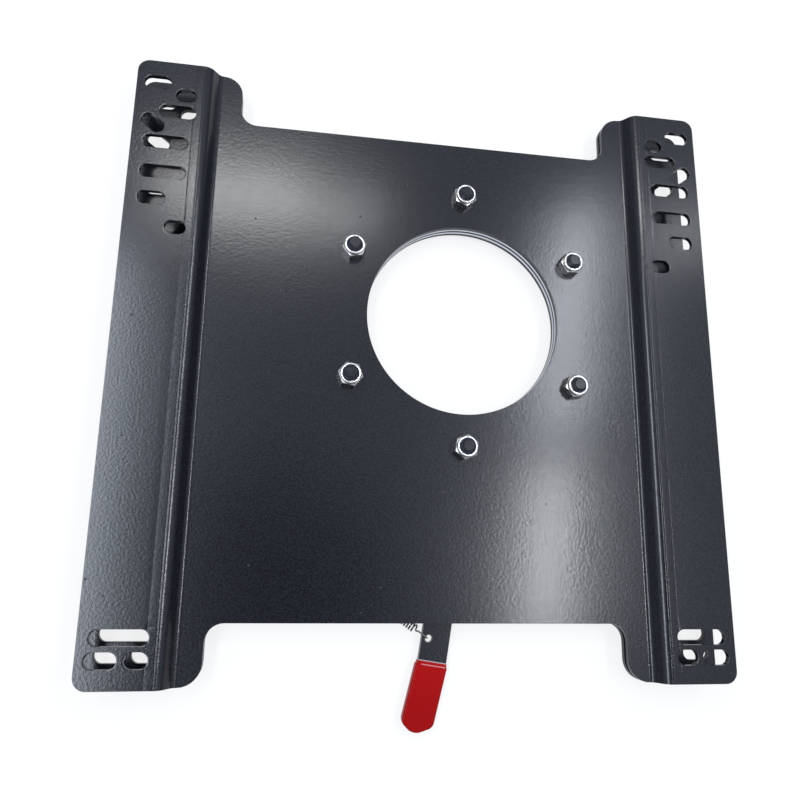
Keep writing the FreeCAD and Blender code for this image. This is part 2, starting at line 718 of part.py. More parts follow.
def lever_keeper():
    """Strap with two pads against the lower plate and a bridge under the lever."""
    left, right = keeper_reaches()
    t = KEEPER_SHEET
    top = LOWER_PANEL_BOTTOM
    bridge_top = LEVER_BOTTOM - KEEPER_GAP
    tight = KEEPER_BEND_RADIUS
    wide = KEEPER_BEND_RADIUS + t
    section = rounded_outline([
        (-left - t - KEEPER_PAD, top, 0),
        (-left - t - KEEPER_PAD, top - t, 0),
        (-left - t, top - t, tight),
        (-left - t, bridge_top - t, wide),
        (right + t, bridge_top - t, wide),
        (right + t, top - t, tight),
        (right + t + KEEPER_PAD, top - t, 0),
        (right + t + KEEPER_PAD, top, 0),
        (right, top, wide),
        (right, bridge_top, tight),
        (-left, bridge_top, tight),
        (-left, top, wide),
    ])
    strap = Part.Face(section).extrude(V(0, 0, KEEPER_WIDTH))
    strap.translate(V(0, 0, -KEEPER_WIDTH / 2))
    strap.rotate(V(0, 0, 0), V(1, 0, 0), 90)
    strap.rotate(V(0, 0, 0), UP, -LEVER_LEAN)
    strap.translate(KEEPER)
    return drilled(strap, KEEPER_RIVET_RADIUS + RIVET_FIT, keeper_rivet_centres())


def keeper_rivet(centre):
    seat = LOWER_PANEL_BOTTOM - KEEPER_SHEET
    head = KEEPER_RIVET_RADIUS + FORMED_HEAD_OVERHANG
    low = seat - FORMED_HEAD_HEIGHT
    profile = [
        (head - HEAD_EDGE, low),
        (head, low + HEAD_EDGE),
        (head, seat),
        (KEEPER_RIVET_RADIUS, seat),
    ]
    return headed_pin(centre, profile + formed_head(KEEPER_RIVET_RADIUS))


# Lever spring


def spring_post():
    """Riveted post under the lower plate, flanged to keep the spring's eye on."""
    flange_top = SPRING_LEVEL - 2 * WIRE_RADIUS
    low = flange_top - POST_FLANGE_HEIGHT
    profile = [
        (POST_FLANGE_RADIUS - HEAD_EDGE, low),
        (POST_FLANGE_RADIUS, low + HEAD_EDGE),
        (POST_FLANGE_RADIUS, flange_top),
        (POST_RADIUS, flange_top),
        (POST_RADIUS, LOWER_PANEL_BOTTOM),
        (KEEPER_RIVET_RADIUS, LOWER_PANEL_BOTTOM),
    ]
    return headed_pin(SPRING_POST, profile + formed_head(KEEPER_RIVET_RADIUS))


def wire_section(radius, centre, first, second):
    """Closed six-sided section of a wire, in the plane of two directions."""
    corners = []
    for i in range(7):
        angle = math.radians(60.0 * i)
        corners.append(centre + first * (radius * math.cos(angle)) + second * (radius * math.sin(angle)))
    return corners


def wire_along(points, radius, bend):
    """Wire through points in the XZ plane, from a start along X, with each bend rounded."""
    edges = []
    start = points[0]
    for i in range(1, len(points) - 1):
        here = points[i]
        before = (points[i - 1] - here).normalize()
        after = (points[i + 1] - here).normalize()
        half = before.getAngle(after) / 2
        reach = bend / math.tan(half)
        middle = here + (before + after).normalize() * (bend / math.sin(half) - bend)
        edges.append(Part.LineSegment(start, here + before * reach).toShape())
        edges.append(Part.Arc(here + before * reach, middle, here + after * reach).toShape())
        start = here + after * reach
    edges.append(Part.LineSegment(start, points[-1]).toShape())
    path = Part.Wire(edges)
    section = Part.makePolygon(wire_section(radius, points[0], V(0, 1, 0), UP))
    return path.makePipeShell([section], True, True)


def lever_spring():
    """Extension spring: closed coil, a hook through the lever and an eye round the post."""
    coil_end = SPRING_LENGTH - COIL_END_GAP
    bore = SPRING_RADIUS - 2 * WIRE_RADIUS
    eye_radius = POST_RADIUS + EYE_CLEARANCE + WIRE_RADIUS
    over = LEVER_TOP + WIRE_RADIUS + HOOK_GAP
    under = LEVER_BOTTOM - WIRE_RADIUS - HOOK_GAP
    in_hole = HOOK_HOLE_RADIUS - WIRE_RADIUS - HOOK_GAP
    rise = COIL_START - HOOK_RISE_START
    along_x = V(1, 0, 0)
    tube = Part.makeCylinder(SPRING_RADIUS, coil_end - COIL_START, V(COIL_START, 0, SPRING_LEVEL), along_x)
    tube = tube.cut(Part.makeCylinder(bore, coil_end - COIL_START, V(COIL_START, 0, SPRING_LEVEL), along_x))
    closing = Part.makeCylinder(SPRING_RADIUS, 2 * WIRE_RADIUS, V(COIL_START, 0, SPRING_LEVEL), along_x)
    far_closing = closing.copy()
    far_closing.translate(V(coil_end - COIL_START - 2 * WIRE_RADIUS, 0, 0))
    hook = wire_along([
        V(COIL_START + WIRE_RADIUS, 0, SPRING_LEVEL),
        V(rise, 0, SPRING_LEVEL),
        V(rise - HOOK_RISE_START, 0, over),
        V(in_hole, 0, over),
        V(in_hole, 0, under),
        V(in_hole + HOOK_TAIL, 0, under),
    ], WIRE_RADIUS, HOOK_BEND_RADIUS)
    eye_start = V(SPRING_LENGTH + eye_radius, 0, SPRING_LEVEL)
    eye_face = Part.Face(Part.makePolygon(wire_section(WIRE_RADIUS, eye_start, V(1, 0, 0), UP)))
    eye = eye_face.revolve(V(SPRING_LENGTH, 0, 0), UP, TURN)
    neck_length = SPRING_LENGTH - eye_radius - coil_end + WIRE_RADIUS
    neck = Part.makeCylinder(WIRE_RADIUS, neck_length, V(coil_end - WIRE_RADIUS, 0, SPRING_LEVEL), along_x)
    spring = tube.fuse([closing, far_closing, hook, eye, neck]).removeSplitter()
    spring.rotate(V(0, 0, 0), UP, SPRING_DIRECTION)
    spring.translate(HOOK_HOLE)
    return spring


# All nodes, one file each


def build_nodes():
    bolts = on_bolt_circle()
    nuts = [lock_nut(centre, turn) for centre, turn in zip(bolts, NUT_TURNS)]
    return {
        "lower_plate": lower_plate(),
        "upper_plate": upper_plate(),
        "slide_ring_upper": slide_ring_upper(),
        "slide_ring_lower": slide_ring_lower(),
        "hub_spacer_ring": hub_spacer_ring(),
        "hub_shim": hub_shim(),
        "hub_ring": hub_ring(),
        "index_ring": index_ring(),
        "clamp_bolts": Part.makeCompound([clamp_bolt(centre) for centre in bolts]),
        "lock_nuts": Part.makeCompound(nuts),
        "nut_inserts": Part.makeCompound([nut_insert(centre) for centre in bolts]),
        "lever_bar": lever_bar(),
        "lever_sleeve": lever_sleeve(),
        "lever_spring": lever_spring(),
        "pivot_rivet": pivot_rivet(),
        "pivot_spacer": pivot_spacer(),
        "pivot_washer": pivot_washer(),
        "lever_keeper": lever_keeper(),
        "keeper_rivets": Part.makeCompound([keeper_rivet(centre) for centre in keeper_rivet_centres()]),
        "spring_post": spring_post(),
    }


os.makedirs("parts", exist_ok=True)
for name, shape in build_nodes().items():
    shape.exportStep("parts/" + name + ".step")
    solids = shape.Solids
    volume = sum(solid.Volume for solid in solids)
    print(name, "solids", len(solids), "valid", shape.isValid(), "volume", round(volume, 1))
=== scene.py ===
import json
import math

import bmesh
import bpy
from bpy.props import FloatProperty, FloatVectorProperty, IntProperty, PointerProperty
from mathutils import Matrix, Vector


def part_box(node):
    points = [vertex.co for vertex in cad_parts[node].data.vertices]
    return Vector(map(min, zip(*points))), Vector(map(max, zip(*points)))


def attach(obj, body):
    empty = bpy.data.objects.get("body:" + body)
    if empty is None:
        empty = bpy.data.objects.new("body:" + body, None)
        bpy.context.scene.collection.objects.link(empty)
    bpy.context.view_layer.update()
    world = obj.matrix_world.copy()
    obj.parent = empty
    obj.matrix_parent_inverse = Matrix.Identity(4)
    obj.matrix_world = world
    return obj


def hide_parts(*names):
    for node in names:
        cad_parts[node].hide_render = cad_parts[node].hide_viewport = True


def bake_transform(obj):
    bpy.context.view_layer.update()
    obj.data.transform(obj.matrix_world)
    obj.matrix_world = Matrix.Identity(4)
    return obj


bl_info = {
    "name": "Swivel Seat Base",
    "version": (1, 0, 0),
    "blender": (4, 5, 0),
    "location": "View3D > Sidebar > Seat Base",
    "description": "Pieces and finishes of a camper's swivel seat base, built on its packed frame",
    "category": "Object",
}

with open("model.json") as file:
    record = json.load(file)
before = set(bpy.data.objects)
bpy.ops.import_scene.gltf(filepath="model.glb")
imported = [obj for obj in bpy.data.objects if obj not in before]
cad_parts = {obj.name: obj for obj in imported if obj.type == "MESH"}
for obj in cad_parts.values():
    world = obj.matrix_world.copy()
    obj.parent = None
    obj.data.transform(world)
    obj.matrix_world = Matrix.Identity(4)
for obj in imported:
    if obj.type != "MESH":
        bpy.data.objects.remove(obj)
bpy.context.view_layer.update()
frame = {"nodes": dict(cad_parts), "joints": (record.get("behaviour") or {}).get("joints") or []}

MM = 0.001
X_AXIS = Vector((1, 0, 0))
LEFT = Vector((0, 1, 0))
UP = Vector((0, 0, 1))
ORIGIN = Vector((0, 0, 0))

# Places that come from the frame
JOINTS = {joint["name"]: joint for joint in frame["joints"]}
SWIVEL = Vector(JOINTS["swivel"]["pos_m"]).xy.to_3d()
PIVOT = Vector(JOINTS["latch"]["pos_m"]).xy.to_3d()


def level(node, end):
    """Lowest (end 0) or highest (end 1) level of a node."""
    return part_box(node)[end].z


PLATE_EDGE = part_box("upper_plate")[1].xy
PANEL_LOW = level("hub_spacer_ring", 1)
NUT_BASE = level("lock_nuts", 0)
NUT_TOP = level("lock_nuts", 1)
BOLT_LOW = level("clamp_bolts", 0)
BOLT_TIP = level("clamp_bolts", 1)
HEAD_SEAT = level("index_ring", 0)
LEVER_LOW, LEVER_TOP = level("lever_bar", 0), level("lever_bar", 1)

# Where the spring's hook sits, from the middle of its hole in the lever
HOOK_SEAT = Vector((-1.27, -0.2, 0)) * MM

# The lever's hole for the hook: along the lever from the pivot, and to its left
HOOK_REACH, HOOK_ASIDE = 78.9855 * MM, 3.9 * MM

# Slots of one flange in mm: inset from the side edge, inset from the end, length, lean in degrees
REAR_SLOTS = (
    (12.4, 14.4, 16.0, 0.0),
    (29.6, 21.8, 12.2, 0.0),
    (25.4, 33.2, 21.6, 0.0),
    (11.5, 41.7, 15.0, 37.5),
    (19.8, 53.8, 26.4, 0.0),
    (19.8, 73.3, 26.4, 0.0),
    (14.7, 90.3, 16.0, 0.0),
    (29.6, 107.9, 12.2, 0.0),
)
FRONT_SLOTS = (
    (12.4, 14.4, 16.0, 0.0),
    (29.6, 14.4, 12.2, 0.0),
    (20.6, 25.5, 29.4, 0.0),
)

# Turn of each nut about its bolt, in degrees, from the bolt at 30 degrees round to the last
NUT_TURNS = (0.0, 36.5, 12.0, 50.0, 22.0, 8.0)


def length(title, text, default_mm):
    return FloatProperty(name=title, description=text, default=default_mm * MM, unit="LENGTH", precision=5)


def angle(title, text, degrees):
    return FloatProperty(name=title, description=text, default=math.radians(degrees), subtype="ANGLE")


def colour(title, text, rgb):
    return FloatVectorProperty(name=title, description=text, default=rgb, size=3, min=0, max=1, subtype="COLOR")


def share(title, text, default):
    return FloatProperty(name=title, description=text, default=default, min=0, max=1, subtype="FACTOR")


class PlateSizes(bpy.types.PropertyGroup):
    """Sizes of the two folded plates."""

    sheet: length("Sheet", "Thickness of the sheet", 3.0)
    step: length("Step", "Height that each flange steps by", 8.0)
    bend: angle("Bend", "Angle that the sheet is bent through, down and back", 55.0)
    bend_radius: length("Bend radius", "Radius of the bends, to the middle of the sheet", 5.5)
    panel_half: length("Panel half width", "From the middle to the first bend", 131.0)
    cutout_width: length("Cutout width", "Width of the cut-back front and rear", 238.0)
    cutout_depth: length("Cutout depth", "How far the front and rear are cut back", 32.0)
    flange_corner: length("Flange corner", "Radius of the outer corners", 7.0)
    ear_corner: length("Ear corner", "Radius of the corners inside the flanges", 12.0)
    cutout_corner: length("Cutout corner", "Radius where the cutout turns in", 10.0)
    slot_width: length("Slot width", "Width of every slot", 8.5)
    edge_radius: length("Edge radius", "Rounding of the punched edges under the paint", 0.4)
    crease: length("Crease", "From the middle to the tool mark along each flange", 146.5)
    mark_depth: length("Tool mark depth", "Depth of the marks that the bending tools leave", 0.14)
    mark_width: length("Tool mark width", "Width of the marks that the bending tools leave", 0.75)
    mark_inset: length("Tool mark inset", "From the second bend's end back to its tool mark", 0.6)


class SwivelSizes(bpy.types.PropertyGroup):
    """Sizes round the swivel axis."""

    hole_radius: length("Centre hole", "Radius of the hole in the upper plate", 60.0)
    bearing_radius: length("Bearing hole", "Radius of the hole in the lower plate", 90.08)
    bolt_circle: length("Bolt circle", "Radius of the circle that the bolts lie on", 80.0)
    bolt_hole: length("Bolt hole", "Radius of the holes for the bolts", 4.3)
    bolt_count: IntProperty(name="Bolts", description="How many bolts clamp the rings", default=6, min=3, max=12)
    first_bolt: angle("First bolt", "Angle of the first bolt from the right", 30.0)
    ring_edge: length("Ring edge", "Rounding of the rings' edges", 0.25)


class FastenerSizes(bpy.types.PropertyGroup):
    """Sizes of the bolts, nuts and rivets."""

    bolt_radius: length("Bolt radius", "Radius over the thread", 4.0)
    pitch: length("Pitch", "Height of one turn of the thread", 1.25)
    thread_depth: length("Thread depth", "Depth of the thread", 0.7)
    tip_chamfer: length("Tip chamfer", "Chamfer at the end of the bolt", 0.9)
    head_radius: length("Head radius", "Radius of the bolt's button head", 7.0)
    socket: length("Socket", "Width of the hexagon socket", 5.0)
    nut_width: length("Nut width", "Across the flats of the nut", 13.0)
    nut_hexagon: length("Hexagon height", "Height of the nut's six sides", 6.2)
    collar_radius: length("Collar radius", "Radius of the rolled collar", 6.15)
    collar_mouth: length("Collar mouth", "Radius of the opening in the rolled collar", 4.65)
    insert_depth: length("Insert depth", "From the collar's rim down to the nylon ring", 0.7)
    insert_height: length("Insert height", "Height of the nylon ring", 1.9)
    bore_gap: length("Bore gap", "Gap between the thread and the nut", 0.05)
    thread_length: length("Thread length", "Length of the thread at the end of the bolt", 7.5)
    dome_height: length("Dome height", "Height of the button head's dome", 3.3)
    dome_flat: length("Dome flat", "Radius of the flat round the socket", 3.6)
    socket_depth: length("Socket depth", "Depth of the hexagon socket", 2.6)
    rivet_edge: length("Rivet edge", "Rounding of the rims of rivets and post", 0.4)
    pivot_shoulder: length("Pivot shoulder", "Radius of the shoulder that the lever turns on", 4.0)
    pivot_shank: length("Pivot shank", "Radius of the pivot rivet in the plate", 3.0)
    pivot_head: length("Pivot head", "Radius of the pivot rivet's upper head", 4.7)
    pin_head: length("Pin head", "Radius of the heads of the keeper's rivets and the post", 3.7)
    pin_shank: length("Pin shank", "Radius of the keeper's rivets, and of the post in the plate", 2.0)
    strap: length("Strap", "Thickness of the keeper's strap", 1.5)
    post_neck: length("Post neck", "Radius of the post where the spring's eye lies", 2.5)
    post_flange: length("Post flange", "Thickness of the post's flange", 1.0)


class LatchSizes(bpy.types.PropertyGroup):
    """Sizes of the lever, its sleeve and its spring."""

    bar_width: length("Bar width", "Width of the lever", 16.0)
    edge: length("Bar edge", "Rounding of the bar's edges", 0.35)
    lean: angle("Lean", "Lean of the bar from the plates' middle line", 8.9)
    handle_lean: angle("Handle lean", "Lean of the handle from the plates' middle line", 14.5)
    mouth_reach: length("Sleeve mouth", "From the pivot to the mouth of the sleeve", 91.135)
    left_length: length("Left side", "Straight left side of the handle", 33.7)
    right_length: length("Right side", "Straight right side of the handle", 32.5)
    tip_length: length("Handle length", "From the mouth to the tip", 38.6)
    tip_offset: length("Tip offset", "How far the tip lies to the left of the handle's middle", 1.0)
    sleeve_wall: length("Sleeve wall", "Thickness of the dipped sleeve", 1.1)
    sleeve_round: length("Sleeve rounding", "Rounding of the sleeve's long edges", 1.3)
    lip_length: length("Lip length", "How far the thinner lip reaches from the mouth", 2.4)
    lip_step: length("Lip step", "How far the lip lies inside the rest of the sleeve", 0.5)
    wire_radius: length("Spring wire", "Radius of the spring's wire", 0.45)
    coil_radius: length("Coil radius", "Radius of the coil, to the middle of the wire", 2.3)
    coil_pitch: length("Coil pitch", "Height of one turn of the coil", 1.65)
    hook_length: length("Hook length", "From the hook's turn in the hole to the coil", 8.0)
    spring_length: length("Spring length", "From the hook hole to the spring's post", 60.0)
    spring_direction: angle("Spring direction", "Direction from the hook hole to the post", 139.2)
    coil_direction: angle("Coil direction", "Direction of the coil, which hangs a little to one side", 144.0)
    hook_sway: length("Hook sway", "How far the coil's middle lies beside the hook", 0.6)


class FinishColours(bpy.types.PropertyGroup):
    """Colours of the finishes."""

    paint: colour("Paint", "Satin black of the plates and the lever", (0.0048, 0.0056, 0.0080))
    zinc: colour("Zinc", "Bright zinc of the nuts", (0.90, 0.87, 0.82))
    turned: colour("Turned rings", "Bright zinc of the rings in the hole", (0.72, 0.75, 0.80))
    oxide: colour("Black oxide", "Oxide of the bolts", (0.014, 0.0145, 0.017))
    nylon: colour("Nylon", "Rings inside the nuts", (0.010, 0.022, 0.060))
    sleeve: colour("Sleeve", "Dipped plastic of the sleeve", (0.350, 0.0028, 0.0030))
    slide: colour("Slide plastic", "Slide rings", (0.018, 0.018, 0.019))
    wire: colour("Spring wire", "Drawn wire of the spring", (0.15, 0.15, 0.155))


class StageSettings(bpy.types.PropertyGroup):
    """Floor, lights and background."""

    lamp_height: length("Lamp height", "Height of the soft lamps above the floor", 1200.0)
    lamp_power: FloatProperty(name="Lamp power", description="Power of a square metre of lamp", default=1.0, min=0)
    floor_colour: colour("Floor", "Pale floor", (0.90, 0.90, 0.90))
    floor_glow: share("Floor glow", "How far the floor is lifted to white behind the object", 0.8)
    zenith: share("Zenith", "Brightness of the surroundings overhead", 0.68)
    horizon: share("Horizon", "Brightness of the surroundings at eye level", 0.3)


GROUPS = {
    "plate": PlateSizes,
    "swivel": SwivelSizes,
    "fastener": FastenerSizes,
    "latch": LatchSizes,
    "colours": FinishColours,
    "stage": StageSettings,
}


def settings(group):
    return getattr(bpy.context.scene, "seat_base_" + group)


# Materials


class Value:
    """A shader socket that takes part in sums. Each operator adds one Math node."""

    def __init__(self, finish, socket):
        self.finish = finish
        self.socket = socket

    def maths(self, operation, *others):
        inputs = dict(enumerate((self,) + others))
        return self.finish.node("ShaderNodeMath", {"operation": operation}, inputs)

    def __add__(self, other):
        return self.maths("ADD", other)

    __radd__ = __add__

    def __mul__(self, other):
        return self.maths("MULTIPLY", other)

    __rmul__ = __mul__

    def __sub__(self, other):
        return self.maths("SUBTRACT", other)

    def __rsub__(self, other):
        return (self * -1.0).maths("ADD", other)

    def __truediv__(self, other):
        return self.maths("DIVIDE", other)

    def band(self, low, high):
        """0 below low, 1 above high, and smooth between them."""
        inputs = {"Value": self, "From Min": low, "From Max": high}
        return self.finish.node("ShaderNodeMapRange", {"interpolation_type": "SMOOTHSTEP"}, inputs)


class Finish:
    """One procedural material, built a node at a time."""

    def __init__(self, name):
        self.material = bpy.data.materials.get(name) or bpy.data.materials.new(name)
        self.material.use_nodes = True
        self.tree = self.material.node_tree
        self.tree.nodes.clear()
        self.coordinates = self.node("ShaderNodeTexCoord", output="Object")

    def node(self, kind, options=None, inputs=None, output=0):
        """Adds a node: its options first, then the value or link of each input."""
        node = self.tree.nodes.new(kind)
        for key, option in (options or {}).items():
            setattr(node, key, option)
        for key, value in (inputs or {}).items():
            if isinstance(value, Value):
                self.tree.links.new(value.socket, node.inputs[key])
            else:
                node.inputs[key].default_value = value
        return Value(self, node.outputs[output]) if len(node.outputs) else None

    def noise(self, size_mm, detail=2.0, roughness=0.5, at=None):
        """Noise whose lumps are about size_mm across."""
        inputs = {
            "Vector": at or self.coordinates,
            "Scale": 1 / (size_mm * MM),
            "Detail": detail,
            "Roughness": roughness,
        }
        return self.node("ShaderNodeTexNoise", {"normalize": True}, inputs, "Fac")

    def specks(self, cell_mm, radius_mm, chosen):
        """Small round specks, one in some of the cells: 1 on a speck and 0 elsewhere."""
        inputs = {"Vector": self.coordinates, "Scale": 1 / (cell_mm * MM)}
        distance = self.node("ShaderNodeTexVoronoi", {"feature": "F1"}, inputs, "Distance")
        tint = self.node("ShaderNodeTexVoronoi", {"feature": "F1"}, inputs, "Color")
        pick = self.node("ShaderNodeSeparateColor", None, {"Color": tint}, "Red").maths("LESS_THAN", chosen)
        radius = radius_mm / cell_mm
        return (1.0 - distance.band(radius * 0.6, radius)) * pick

    def mix(self, amount, first, second):
        """Colour between two colours: the Mix node's inputs 6 and 7 and its output 2 are the colour ones."""
        inputs = {0: amount, 6: as_colour(first), 7: as_colour(second)}
        return self.node("ShaderNodeMix", {"data_type": "RGBA"}, inputs, 2)

    def vector_maths(self, operation, first, second=None, output="Vector"):
        inputs = {0: first} if second is None else {0: first, 1: second}
        return self.node("ShaderNodeVectorMath", {"operation": operation}, inputs, output)

    def along(self, direction):
        """How far the surface lies along a direction, from the origin."""
        return self.vector_maths("DOT_PRODUCT", self.coordinates, tuple(direction), "Value")

    def height(self):
        return self.node("ShaderNodeSeparateXYZ", None, {"Vector": self.coordinates}, "Z")

    def bump(self, height, distance_mm, under=None):
        """Normal for a height from 0 to 1 that stands distance_mm high."""
        inputs = {"Height": height, "Distance": distance_mm * MM, "Strength": 1.0}
        if under is not None:
            inputs["Normal"] = under
        return self.node("ShaderNodeBump", None, inputs, "Normal")

    def surface(self, **sockets):
        """Ends the material in one Principled shader."""
        inputs = {key.replace("_", " "): as_colour(value) for key, value in sockets.items()}
        shader = self.node("ShaderNodeBsdfPrincipled", None, inputs, "BSDF")
        self.node("ShaderNodeOutputMaterial", None, {"Surface": shader})
        return self.material


def as_colour(value):
    """A colour's three numbers with a fourth, or the value as it is."""
    if isinstance(value, (Value, float, int)):
        return value
    return (*value[:3], 1.0)


def shaded(rgb, factor):
    return tuple(min(1.0, part * factor) for part in rgb[:3])


def paint_finish():
    """Satin black paint: fine peel, dust specks and slow changes of gloss."""
    finish = Finish("plate_paint")
    base = settings("colours").paint
    cloud = finish.noise(55.0, 3.0)
    peel = finish.noise(1.5, 1.0, 0.5)
    grain = finish.noise(0.9, 1.0)
    pits = finish.specks(9.0, 0.65, 0.3)
    dust = finish.specks(13.0, 0.45, 0.2)
    tone = finish.mix(cloud.band(0.3, 0.7), shaded(base, 0.85), shaded(base, 1.12))
    tone = finish.mix(grain.band(0.35, 0.65), shaded(base, 0.3), finish.mix(0.75, tone, shaded(base, 2.4)))
    tone = finish.mix(pits * 0.85, tone, shaded(base, 0.2))
    tone = finish.mix(dust * 0.6, tone, (0.30, 0.30, 0.31))
    gloss = 0.165 + cloud * 0.03 + finish.noise(0.5, 1.0) * 0.03 + pits * 0.3 + dust * 0.3
    normal = finish.bump(peel, 0.04)
    normal = finish.bump(pits * -1.0 + dust, 0.05, normal)
    return finish.surface(Base_Color=tone, Roughness=gloss, Normal=normal)


def turned_metal_finish():
    """Bright plated metal with fine rings of turning round the swivel, and painted shade where the rings meet the
    shim.
    """
    finish = Finish("zinc_ring")
    base = settings("colours").turned
    away = finish.vector_maths("SUBTRACT", finish.coordinates, tuple(SWIVEL))
    flat = finish.vector_maths("MULTIPLY", away, (1.0, 1.0, 0.0))
    radius = finish.vector_maths("LENGTH", flat, output="Value")
    height = finish.height()
    line = finish.node("ShaderNodeCombineXYZ", None, {"X": radius, "Y": height}, "Vector")
    rings = finish.noise(0.35, 2.0, at=line)
    cloud = finish.noise(8.0, 2.0)
    tone = finish.mix(cloud, shaded(base, 0.8), shaded(base, 1.1))
    up, shim_low, shim_top = height / MM, level("hub_shim", 0) / MM, level("hub_shim", 1) / MM
    # Painted shade: the rings are darkened in a band round the shim's level, where the recess between them lies in
    # shade
    painted_recess_shade = up.band(shim_low - 0.4, shim_low - 0.05) * up.band(shim_top + 0.5, shim_top + 0.1)
    tone = finish.mix(painted_recess_shade * 0.9, tone, shaded(base, 0.08))
    rough = 0.24 + rings * 0.10 + cloud * 0.08
    normal = finish.bump(rings, 0.01)
    return finish.surface(Base_Color=tone, Metallic=1.0, Roughness=rough, Normal=normal)


def zinc_nut_finish():
    """Bright rolled collar over a duller hexagon, with painted shade in the groove between them."""
    finish = Finish("zinc_nut")
    base = settings("colours").zinc
    cloud = finish.noise(2.5, 3.0)
    grain = finish.noise(0.25, 2.0)
    above = (finish.height() - (NUT_BASE + settings("fastener").nut_hexagon)) / MM
    collar = above.band(0.5, 0.8)
    # Painted shade: the groove between the hexagon and the collar is darkened where shade falls in it
    painted_groove_shade = above.band(-0.25, 0.05) * above.band(0.7, 0.5)
    dull = finish.mix(cloud.band(0.35, 0.65), shaded(base, 0.5), shaded(base, 0.75))
    tone = finish.mix(collar, dull, shaded(base, 1.1))
    tone = finish.mix(painted_groove_shade * 0.85, tone, shaded(base, 0.06))
    rough = 0.16 + cloud * 0.12 + grain * 0.08
    normal = finish.bump(grain, 0.006)
    return finish.surface(Base_Color=tone, Metallic=1.0, Roughness=rough, Normal=normal)


def oxide_finish():
    """Black oxide with a little oil, with lighter rings of marks on the end of the thread and a painted highlight
    near the edge of its flat end.
    """
    finish = Finish("bolt_black")
    base = settings("colours").oxide
    cloud = finish.noise(3.0, 3.0)
    grain = finish.noise(0.3, 2.0)
    from_axis = finish.node("ShaderNodeAttribute", {"attribute_name": "from_axis"}, None, "Fac")
    line = finish.node("ShaderNodeCombineXYZ", None, {"X": from_axis * MM}, "Vector")
    rings = finish.noise(0.7, 1.0, at=line)
    # Lighter rings of marks on the bolt's end, and a painted highlight in a ring near the edge of its flat end
    rings_and_painted_highlight = rings.band(0.45, 0.6) * 0.5 + from_axis.band(2.2, 2.5) * from_axis.band(3.2, 2.8) * 0.5
    tone = finish.mix(cloud.band(0.45, 0.75), base, shaded(base, 2.0))
    tone = finish.mix(rings_and_painted_highlight * (0.3 + cloud * 0.6), tone, shaded(base, 5.0))
    rough = 0.22 + grain * 0.1
    normal = finish.bump(rings, 0.02)
    normal = finish.bump(grain, 0.012, normal)
    return finish.surface(Base_Color=tone, Roughness=rough, Specular_IOR_Level=0.25, Normal=normal)


def nylon_finish():
    """Dark blue nylon, slightly cloudy."""
    finish = Finish("insert_nylon")
    base = settings("colours").nylon
    cloud = finish.noise(1.5, 2.0)
    tone = finish.mix(cloud, shaded(base, 0.8), shaded(base, 1.6))
    normal = finish.bump(finish.noise(0.5, 2.0), 0.02)
    return finish.surface(Base_Color=tone, Roughness=0.34 + cloud * 0.15, Normal=normal)


def slide_finish():
    """Black moulded slide plastic, polished where it rubs."""
    finish = Finish("slide_plastic")
    base = settings("colours").slide
    cloud = finish.noise(6.0, 3.0)
    tone = finish.mix(cloud, shaded(base, 0.8), shaded(base, 1.4))
    normal = finish.bump(finish.noise(0.4, 2.0), 0.01)
    return finish.surface(Base_Color=tone, Roughness=0.38 + cloud * 0.2, Normal=normal)


def sleeve_finish():
    """Dipped plastic: deep red, darker to the tip, with painted highlights on the rim and the shoulder at its
    mouth.
    """
    finish = Finish("sleeve_red")
    base = settings("colours").sleeve
    sizes = settings("latch")
    cloud = finish.noise(9.0, 2.0)
    ahead, across = along_lean(sizes.lean, 1.0), along_lean(sizes.lean + math.pi / 2, 1.0)
    past = (finish.along(ahead) - (PIVOT.dot(ahead) + sizes.mouth_reach)) / MM
    tone = finish.mix(past.band(0.0, 30.0) * 0.8 + cloud * 0.2, base, shaded(base, 0.84))
    # Painted highlight: a pale line along the rounded rim of the mouth
    rim = past.band(0.7, 0.35)
    beside = (finish.along(across) - PIVOT.dot(across)) / MM
    # Painted highlight: a pinkish line along the shoulder where the lip meets the rest of the sleeve
    shoulder = past.band(2.0, 2.25) * past.band(2.7, 2.45) * beside.band(6.5, 5.8) * beside.band(-8.2, -7.0)
    tone = finish.mix(rim * 0.8, tone, (0.58, 0.55, 0.55))
    tone = finish.mix(shoulder * 0.6, tone, (0.70, 0.40, 0.40))
    ripple = finish.noise(5.0, 1.0)
    normal = finish.bump(ripple, 0.10)
    normal = finish.bump(finish.noise(0.7, 1.0), 0.006, normal)
    return finish.surface(
        Base_Color=tone,
        Roughness=0.14 + cloud * 0.08,
        Normal=normal,
        Specular_IOR_Level=0.1,
    )


def wire_finish():
    """Zinc-plated drawn wire, with lines along its length."""
    finish = Finish("spring_wire")
    base = settings("colours").wire
    grain = finish.noise(0.2, 2.0)
    cloud = finish.noise(4.0, 2.0)
    tone = finish.mix(cloud, shaded(base, 0.75), base)
    normal = finish.bump(grain, 0.006)
    return finish.surface(Base_Color=tone, Metallic=1.0, Roughness=0.2 + grain * 0.15, Normal=normal)


FINISHES = {
    "plate_paint": paint_finish,
    "zinc_ring": turned_metal_finish,
    "zinc_nut": zinc_nut_finish,
    "bolt_black": oxide_finish,
    "insert_nylon": nylon_finish,
    "slide_plastic": slide_finish,
    "sleeve_red": sleeve_finish,
    "spring_wire": wire_finish,
}


MADE = {}


def finish_of(slot):
    """The material of a slot, made when it is first asked for."""
    if slot not in MADE:
        MADE[slot] = FINISHES[slot]()
    return MADE[slot]


# Shape helpers

# Width of the ring of faces inside a rounded rim, as a share of the rounding
RIM_INSET = 1.6


